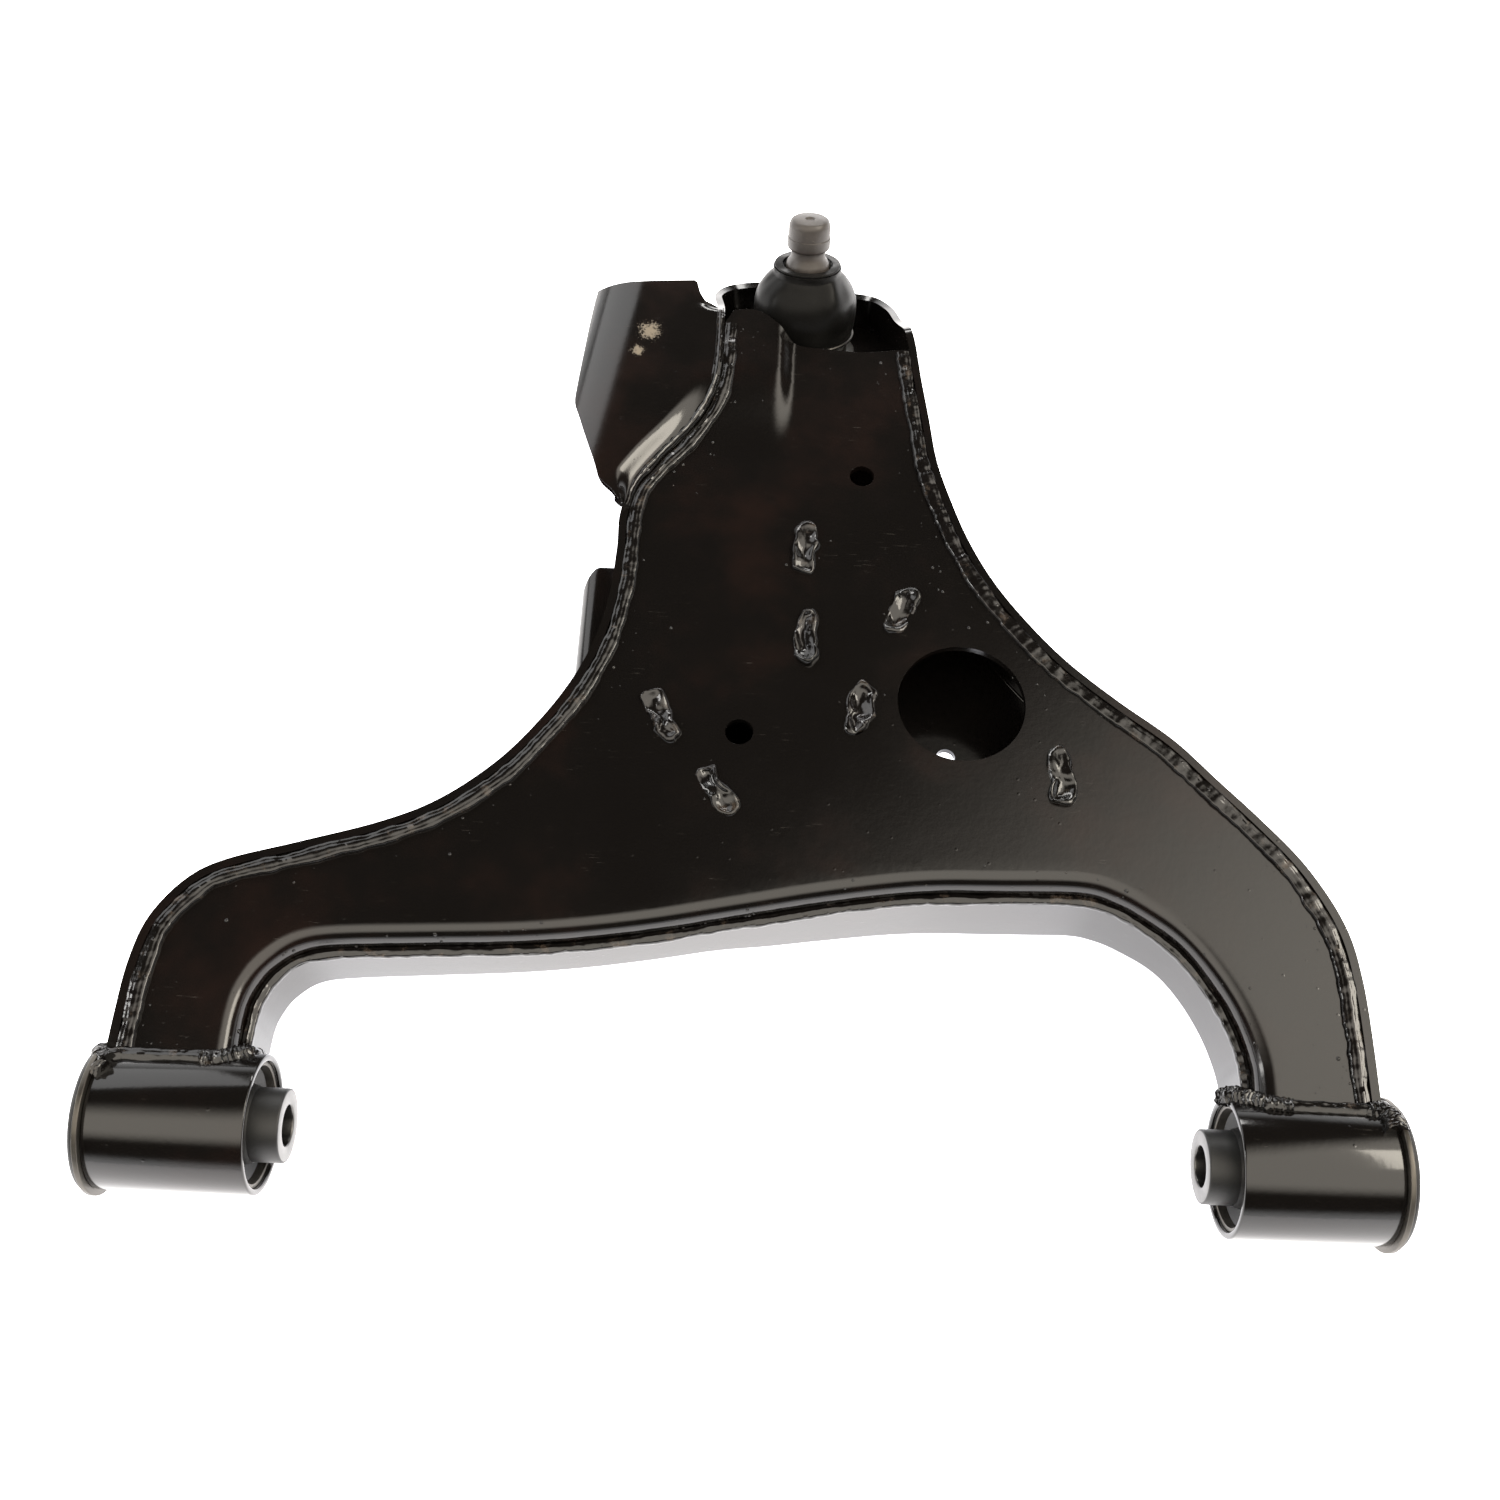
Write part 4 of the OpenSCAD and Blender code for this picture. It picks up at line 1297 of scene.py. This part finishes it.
def build_damper_bracket():
    """A bent channel: a top under the arm and two ears with the bolt bore.

    Its top reaches back and ahead of the bolt's y; its ears narrow towards their round ends."""
    x0, x1, middle, bolt_z = CLEVIS
    back, ahead = 31, 41
    radius, top, columns = 9.0, -23.0, 16
    edge_z = top - radius
    near = back - (-24 - edge_z) / 38 * (back - CLEVIS_EYE)

    def row(x, z, low, high):
        return [(x, middle - low + (low + high) * k / columns, z) for k in range(columns + 1)]

    rows = []
    for k in range(8):
        a = math.pi / 2 * k / 7
        lean = smoothstep(0, 1, k / 7)
        rows.append(row(x0 + radius * (1 - math.cos(a)), edge_z + radius * math.sin(a),
                        near + (back - near) * lean, near + (ahead - near) * lean))
    rows += [row(x0 + radius + (x1 - x0 - 2 * radius) * k / 6, top, back, ahead) for k in range(1, 6)]
    rows += [[(x0 + x1 - x, y, z) for x, y, z in rows[k]] for k in range(7, -1, -1)]
    channel = ([p for r in rows for p in r], strip_faces(len(rows), columns + 1))
    outline = [Vector((y, z)) for _, y, z in rows[0]]
    outline += [Vector((middle + CLEVIS_EYE * math.cos(a), bolt_z - CLEVIS_EYE * math.sin(a)))
                for a in (math.pi * k / 24 for k in range(25))]
    ear, tris = region_mesh(outline, [circle(middle, bolt_z, CLEVIS_BORE, 40)], lambda y, z: 0, 6.0)
    parts = [channel] + [([(x, y, z) for y, z, _ in ear], tris) for x in (x0, x1)]
    obj = add_object("damper_clevis", *joined(parts), coat_material())
    merged(obj, 0.05)
    face_way(obj, 1)
    thickened(obj, CLEVIS_SHEET)
    finish_piece(obj, "arm", "black_paint", "damper_bracket")


def at_height(path, height):
    """The path in 3D, at the height given for each place."""
    return [(p.x, p.y, height(p.x, p.y)) for p in path]


def build_seam_welds():
    """The beads along both sides of the deck, under the arch's flange and along the pad."""
    scene = bpy.context.scene
    shell, weld = scene.arm_shells, scene.arm_welds
    inset = shell.sheet + weld.width / 2 - 0.4

    def on_deck(x, y):
        return shell.deck_height + 0.5 + rise_at(x, y, shell)

    for name, edge, top, node, seed in (("front_seam_bead", FRONT_EDGE, 449, "front_seam_weld", 2),
                                        ("rear_seam_bead", REAR_EDGE, 440, "rear_seam_weld", 3)):
        path = [p for p in moved_in(even_path(edge, shell.pitch), inset) if 25 < p.y < top]
        obj = bead(name, [at_height(path, on_deck)], weld.width, 1.9, seed)
        finish_piece(obj, "arm", "painted_weld", node)
    path = [p for p in moved_in(even_path(ARCH_EDGE, shell.pitch), 2.2) if p.y > 29]
    obj = bead("arch_seam_bead", [at_height(path, lambda x, y: 8.3)], 5.6, 2.3, 4)
    finish_piece(obj, "arm", "painted_weld", "arch_seam_weld")
    path = moved_in(even_path(PAD_SEAM, shell.pitch), 0.8)
    obj = bead("stop_pad_bead", [at_height(path, lambda x, y: wall_top_z(x, y, shell) + 0.6)], 4.6, 1.6, 5)
    finish_piece(obj, "arm", "painted_weld", "stop_pad_weld")


def build_plug_welds():
    """One uneven plug weld, its rim proud and its middle sunk, copied into the seven slots."""
    scene = bpy.context.scene
    weld, shell = scene.arm_welds, scene.arm_shells
    top = shell.deck_height
    rings = [(-3.0, -3.8), (0.0, -3.8), (1.0, -3.6), (1.5, -2.2), (1.6, -0.8), (1.5, 0.2), (1.2, 1.0),
             (0.7, 1.6), (0.0, 1.9), (-0.7, 1.9), (-1.4, 1.6), (-2.1, 1.2), (-2.8, 0.9), (-3.5, 0.7),
             (-4.1, 0.6)]                                      # grown past the slot, height over the deck
    verts, count = [], 90
    for grow, z in rings:
        ring = slot_outline(0, 0, 0, weld.slot_width + 2 * grow, weld.slot_length + 2 * grow, 12)
        around = ring + ring[:1]
        verts += [(p.x, p.y, z) for p in (point_along(around, k / count) for k in range(count))]
    faces = strip_faces(len(rings), count, closed=True)
    faces += [tuple(range(count - 1, -1, -1)), tuple(range(len(verts) - count, len(verts)))]
    one = add_object("one_plug_weld", verts, faces, weld_material())
    merged(one, 0.01)
    spots = bpy.data.meshes.new("plug_spots")
    spots.from_pydata([Vector((x, y, top)) * MM for x, y, _ in PLUG_SLOTS], [], [])
    heading = spots.attributes.new("heading", "FLOAT", "POINT")
    for item, (_, _, turn) in zip(heading.data, PLUG_SLOTS):
        item.value = math.radians(turn)
    obj = grown("plug_weld_beads", spots, tree_named("plug_weld_row", plug_weld_tree), Weld=one,
                Unevenness=0.0042, Seed=3.0, Material=weld_material())
    bpy.data.objects.remove(one)
    smooth_shading(obj.data, SHARP_BEAD)
    finish_piece(obj, "arm", "painted_weld", "plug_welds")


def on_tube(x, z):
    """The place just off a bushing tube's skin at x and z, on the arm's side."""
    return (x, math.sqrt((TUBE_R + 0.6) ** 2 - z * z), z)


def leg_loop(outer, arch):
    """Round a leg's end on its tube: over the deck, down the arch's bend and wall, and underneath."""
    way = 1 if arch > outer else -1
    corners = [(outer - way, 17), (outer, 21.5), (outer + 3 * way, 22.3), (outer + 7 * way, 21),
               (arch - 13 * way, 21), (arch - 8 * way, 19), (arch - 5 * way, 14), (arch - 4 * way, 9.5),
               (arch + 0.5 * way, 8), (arch + way, 2), (arch + way, -26), (outer - way, -26)]
    flat = []
    for a, b in zip(corners, corners[1:] + corners[:1]):
        a, b = Vector(a), Vector(b)
        steps = max(1, int((b - a).length / 3))
        flat += [a.lerp(b, k / steps) for k in range(steps)]
    return [on_tube(p.x, p.y) for p in flat]


def build_tube_welds():
    """Beads round the legs' ends, with the heavier starts and stops at their corners."""
    objs = [bead("tube_loop_%d" % number, [leg_loop(*leg)], 6.5, 2.6, 11 + number, closed=True, Wander=0.001)
            for number, leg in enumerate((FRONT_LEG, REAR_LEG))]
    blobs = [[(-37, 18), (-35, 22), (-31, 25)], [(-34, 27), (-30, 28)],
             [(7, 21.5), (15, 21), (22, 17), (27, 12)], [(467, 11), (474, 17), (482, 21), (492, 22)],
             [(466, 4), (470, 12)], [(527, 22), (534, 22), (536.5, 27), (536, 29.5)]]        # x, z
    routes = [[on_tube(x, z) for x, z in blob] for blob in blobs]
    objs.append(bead("tube_corner_blobs", routes, 8.5, 3.6, 17, Wander=0.0024, Depth=0.0004))
    finish_piece(one_object("tube_weld_beads", objs), "arm", "painted_weld", "tube_welds")


def build_spatter():
    """Droplets of spatter round the beads on the deck."""
    scene = bpy.context.scene
    shell, weld = scene.arm_shells, scene.arm_welds
    source = bpy.data.objects["upper_shell_skin"].data.copy()
    spots = moved_in(even_path(FRONT_EDGE, 8), 12) + moved_in(even_path(REAR_EDGE, 8), 12)
    spots += moved_in(even_path(ARCH_EDGE, 8), 2) + [Vector((x, y)) for x, y, _ in PLUG_SLOTS]
    near = source.attributes.new("near_weld", "FLOAT", "POINT")
    for item, v in zip(near.data, source.vertices):
        p = Vector((v.co.x / MM, v.co.y / MM))
        gap = min((p - q).length for q in spots)
        up = v.normal.z > 0.5 or v.co.z / MM < shell.deck_height - 2
        item.value = math.exp(-(gap / 11) ** 2) if up and v.normal.length else 0
    area, thinning = sum(p.area for p in source.polygons), 6.0         # about 1 / the mean of near_weld
    obj = grown("weld_spatter_drops", source, tree_named("weld_spatter", spatter_tree),
                Density=weld.spatter / area * thinning, Largest=0.0009, Seed=5, Material=weld_material())
    smooth_shading(obj.data, math.radians(60))
    finish_piece(obj, "arm", "painted_weld")


def build_bushings():
    """Both bushings: the welded tube, the flanged outer sleeve, the rubber and the inner sleeve."""
    coat = coat_material()
    rim = metal_material("flange_steel_dull", (0.085, 0.078, 0.068), 0.4, 0.9, spots=(0.05, 0.035, 0.025))
    rubber = rubber_material("bushing_rubber_black", (0.006, 0.006, 0.006), 0.5)
    for side, mirrored in (("front", False), ("rear", True)):
        place = along_pivot(mirrored)
        tube = turned(side + "_tube", [(-35, 28.02), (-35, TUBE_R), (35, TUBE_R), (35, 28.02)], place,
                      coat, 0.9)
        finish_piece(tube, "arm", "black_paint", side + "_bushing_tube")
        shell = turned(side + "_outer_shell", [(-37.5, 25.95), (-37.5, 34), (-35.05, 34), (-35.05, 27.95),
                                               (33, 27.95), (33, 25.95)], place, rim, 0.5)
        finish_piece(shell, "arm", "flange_steel", side + "_outer_sleeve")
        profile = [(-41, 16.62), (-42, 20.5), (-41.2, 28), (-40, 32), (-37.6, 33), (-37.6, 25.9),
                   (29.5, 25.9), (27.5, 23.6), (24.5, 20.5), (27.5, 18.2), (33, 16.62)]
        soft = turned(side + "_rubber", profile, place, rubber, 1.4)
        finish_piece(soft, "arm", "bushing_rubber", side + "_bushing_rubber")
        inner = turned(side + "_sleeve", [(-46, 9.1), (-46, 16.5), (46, 16.5), (46, 9.1)], place,
                       sleeve_material(), 0.9)
        finish_piece(inner, "frame_sleeves", "sleeve_steel", side + "_inner_sleeve")


def build_ball_joint():
    """The turned housing, its snap ring and the wire round the boot's foot."""
    place = stud_frame()
    steel = metal_material("housing_steel_turned", (0.2, 0.195, 0.185), 0.32, 1.0)
    spring = metal_material("spring_steel_dark", (0.09, 0.086, 0.08), 0.36, 1.0)
    profile = [(-7, 13.2), (0, 17.2), (0, 22), (-1, 23), (-9, 23), (-11, HOUSING_R), (-14.5, HOUSING_R),
               (-15.5, 30), (-19.85, 30), (-19.85, HOUSING_R), (-24.5, HOUSING_R), (-24.5, 23.6),
               (-26.6, 23.6), (-26.6, HOUSING_R), (-39, HOUSING_R), (-40, 24), (-40, 17.5), (-38.8, 17.5),
               (-38.8, 18.6), (-7, 18.6)]
    housing = turned("joint_housing", profile, place, steel, 0.35)
    finish_piece(housing, "arm", "housing_steel", "ball_joint_housing")
    section = [(-26.5, 23.7), (-26.5, 29), (-24.6, 29), (-24.6, 23.7)]
    ring = turned("housing_snap_ring", section, place, spring, 0.3)
    finish_piece(ring, "arm", "spring_steel", "retaining_ring")
    wire = [(-5 + 0.85 * math.sin(a), 28.1 + 0.85 * math.cos(a))
            for a in (2 * math.pi * k / 14 for k in range(14))]
    clamp = turned("boot_clamp_wire", wire, place, spring, 0)
    finish_piece(clamp, "arm", "spring_steel", "boot_clamp_ring")


def build_dust_boot():
    """The boot in two lengths, the lower bending with the swing and the upper with the rocking."""
    place, split = stud_frame(), BOOT_SPLIT_T
    colour = tuple(bpy.context.scene.arm_finish.rubber)
    mat = rubber_material("boot_rubber_black", colour, 0.36, folds=240.0, shine=0.08)
    outside = [(-8, 23.1), (-8, 25.4), (-6, 27.4), (-4, 27.4), (-2, 28), (3, 28.9), (10, 29.4), (16, 28.8),
               (21, 27), (26, 23.6), (29.5, 20.2), (31, 19.2), (34, 19.2)]
    within = [(34, 13.2), (32, 12.9), (29.5, 13.2), (28, 16.5), (24, 21.5), (20, 24.4), (15, 26.2),
              (10, 26.9), (4, 26.4), (0, 23.1)]
    outer, inner = smooth_path(outside, 5), smooth_path(within, 5)
    cut_out, cut_in = (next(p.lerp(q, (split - p.x) / (q.x - p.x)) for p, q in zip(path, path[1:])
                            if (p.x <= split) != (q.x <= split)) for path in (outer, inner))
    low = [p for p in outer if p.x < split] + [cut_out, cut_in] + [p for p in inner if p.x < split]
    high = [cut_out] + [p for p in outer if p.x > split] + [p for p in inner if p.x > split] + [cut_in]
    lower = turned("dust_boot_lower", low, place, mat, 0, math.radians(50))
    upper = turned("dust_boot_upper", high, place, mat, 0, math.radians(50))
    for obj, a, b, start, end in ((lower, "arm", "stud_swing", BOOT_BASE_T, split),
                                  (upper, "stud_swing", "stud_rock", split, BOOT_TOP_T)):
        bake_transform(obj)
        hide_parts("dust_boot")
    lip = turned("boot_top_ring", [(34.3, 14.2), (34.3, 18.6), (35.5, 18.6), (35.5, 14.2)], place, mat, 0.3)
    finish_piece(lip, "stud_rock", "boot_rubber", "boot_lip_ring")


def build_ball_stud():
    """Ball, neck, taper, pinch groove and head in one turned piece."""
    mat = metal_material("stud_phosphate", tuple(bpy.context.scene.arm_finish.stud), 0.42, 0.15, 1800.0,
                         0.00006, spots=(0.09, 0.075, 0.062))
    ball, arc = [], math.pi / 2 + math.acos(NECK_R / BALL_R)
    for k in range(25):
        a = arc * k / 24 - math.pi / 2
        ball.append((BALL_T + BALL_R * math.sin(a), max(BALL_R * math.cos(a), 0)))
    neck = [(4, NECK_R), (14, 12), (35, 12.4), (37, 11.6), (39.5, 9.8), (41.5, 9.5), (43.5, 9.8),
            (45.2, 11.7), (46, 12), (51, 12), (51.3, 11.6), (57.6, 11.6), (58.2, 11.4), (60.2, 10.6),
            (61, 9.4), (61, 3), (60.2, 2), (60.2, 0)]
    stud = turned("stud_and_ball", ball + neck, stud_frame(), mat, 0, math.radians(35))
    finish_piece(stud, "stud", "stud_steel", "ball_stud")


def finish_cad_parts():
    """Materials for the parts shown as the frame has them, inside the box and under it."""
    coat = coat_material()
    spring = bpy.data.materials["spring_steel_dark"]
    plate = metal_material("cover_plate_zinc", (0.25, 0.245, 0.23), 0.3, 1.0)
    looks = {"centre_rib": coat, "hole_rib": coat, "front_rib": coat, "rear_rib": coat,
             "bracket_weld": weld_material(), "bearing_race": polymer_material(),
             "floating_seat": polymer_material(), "pressure_cup": polymer_material(),
             "preload_spring": spring, "cover_plate": plate}
    for name, mat in looks.items():
        data = frame["nodes"][name].data
        data.materials.clear()
        data.materials.append(mat)


# ---- operators ----

def step(idname, label, text, work):
    """An operator class that runs one building step."""
    def execute(self, context):
        work()
        return {"FINISHED"}
    return type("ARM_OT_" + idname, (bpy.types.Operator,),
                {"bl_idname": "arm." + idname, "bl_label": label, "__doc__": text, "execute": execute})


STEPS = [
    step("stage", "Stage", "Floor, camera, world and lights", build_stage),
    step("upper_shell", "Upper shell", "The deck pressing, bent down along the arch", build_upper_shell),
    step("lower_shell", "Lower shell", "The tub pressing with its side walls", build_lower_shell),
    step("stop_pad", "Stop pad", "The folded jounce stop plate", build_stop_pad),
    step("damper_bracket", "Damper bracket", "The bent clevis under the arm", build_damper_bracket),
    step("seam_welds", "Seam welds", "Beads along the shells' seams", build_seam_welds),
    step("plug_welds", "Plug welds", "Welds that fill the deck's slots", build_plug_welds),
    step("tube_welds", "Tube welds", "Beads between the legs and the tubes", build_tube_welds),
    step("spatter", "Spatter", "Weld spatter under the coat", build_spatter),
    step("bushings", "Bushings", "Tubes, sleeves and rubbers on the pivot axis", build_bushings),
    step("ball_joint", "Ball joint", "Housing, snap ring and boot clamp", build_ball_joint),
    step("dust_boot", "Dust boot", "Two-part rubber boot and its top ring", build_dust_boot),
    step("ball_stud", "Ball stud", "Ball, neck, groove and head", build_ball_stud),
    step("inner_parts", "Inner parts", "Finishes of the parts kept from the frame", finish_cad_parts),
]


class ARM_PT_panel(bpy.types.Panel):
    """Lists the building steps in the sidebar."""
    bl_label = "Control arm"
    bl_idname = "ARM_PT_panel"
    bl_space_type = "VIEW_3D"
    bl_region_type = "UI"
    bl_category = "Control arm"

    def draw(self, context):
        for item in STEPS:
            self.layout.operator(item.bl_idname)


SETTINGS = {"arm_shells": ArmShellSettings, "arm_welds": ArmWeldSettings, "arm_finish": ArmFinishSettings,
            "arm_stage": ArmStageSettings}


def register():
    """Registers the settings, the building steps and the panel."""
    for cls in [*SETTINGS.values(), *STEPS, ARM_PT_panel]:
        bpy.utils.register_class(cls)
    for name, cls in SETTINGS.items():
        setattr(bpy.types.Scene, name, PointerProperty(type=cls))


def unregister():
    for name in SETTINGS:
        delattr(bpy.types.Scene, name)
    for cls in [ARM_PT_panel, *reversed(STEPS), *reversed(list(SETTINGS.values()))]:
        bpy.utils.unregister_class(cls)


def main():
    """Builds every step in turn and writes the size file."""
    register()
    for item in STEPS:
        getattr(bpy.ops.arm, item.bl_idname.split(".")[1])()


if __name__ == "__main__":
    main()
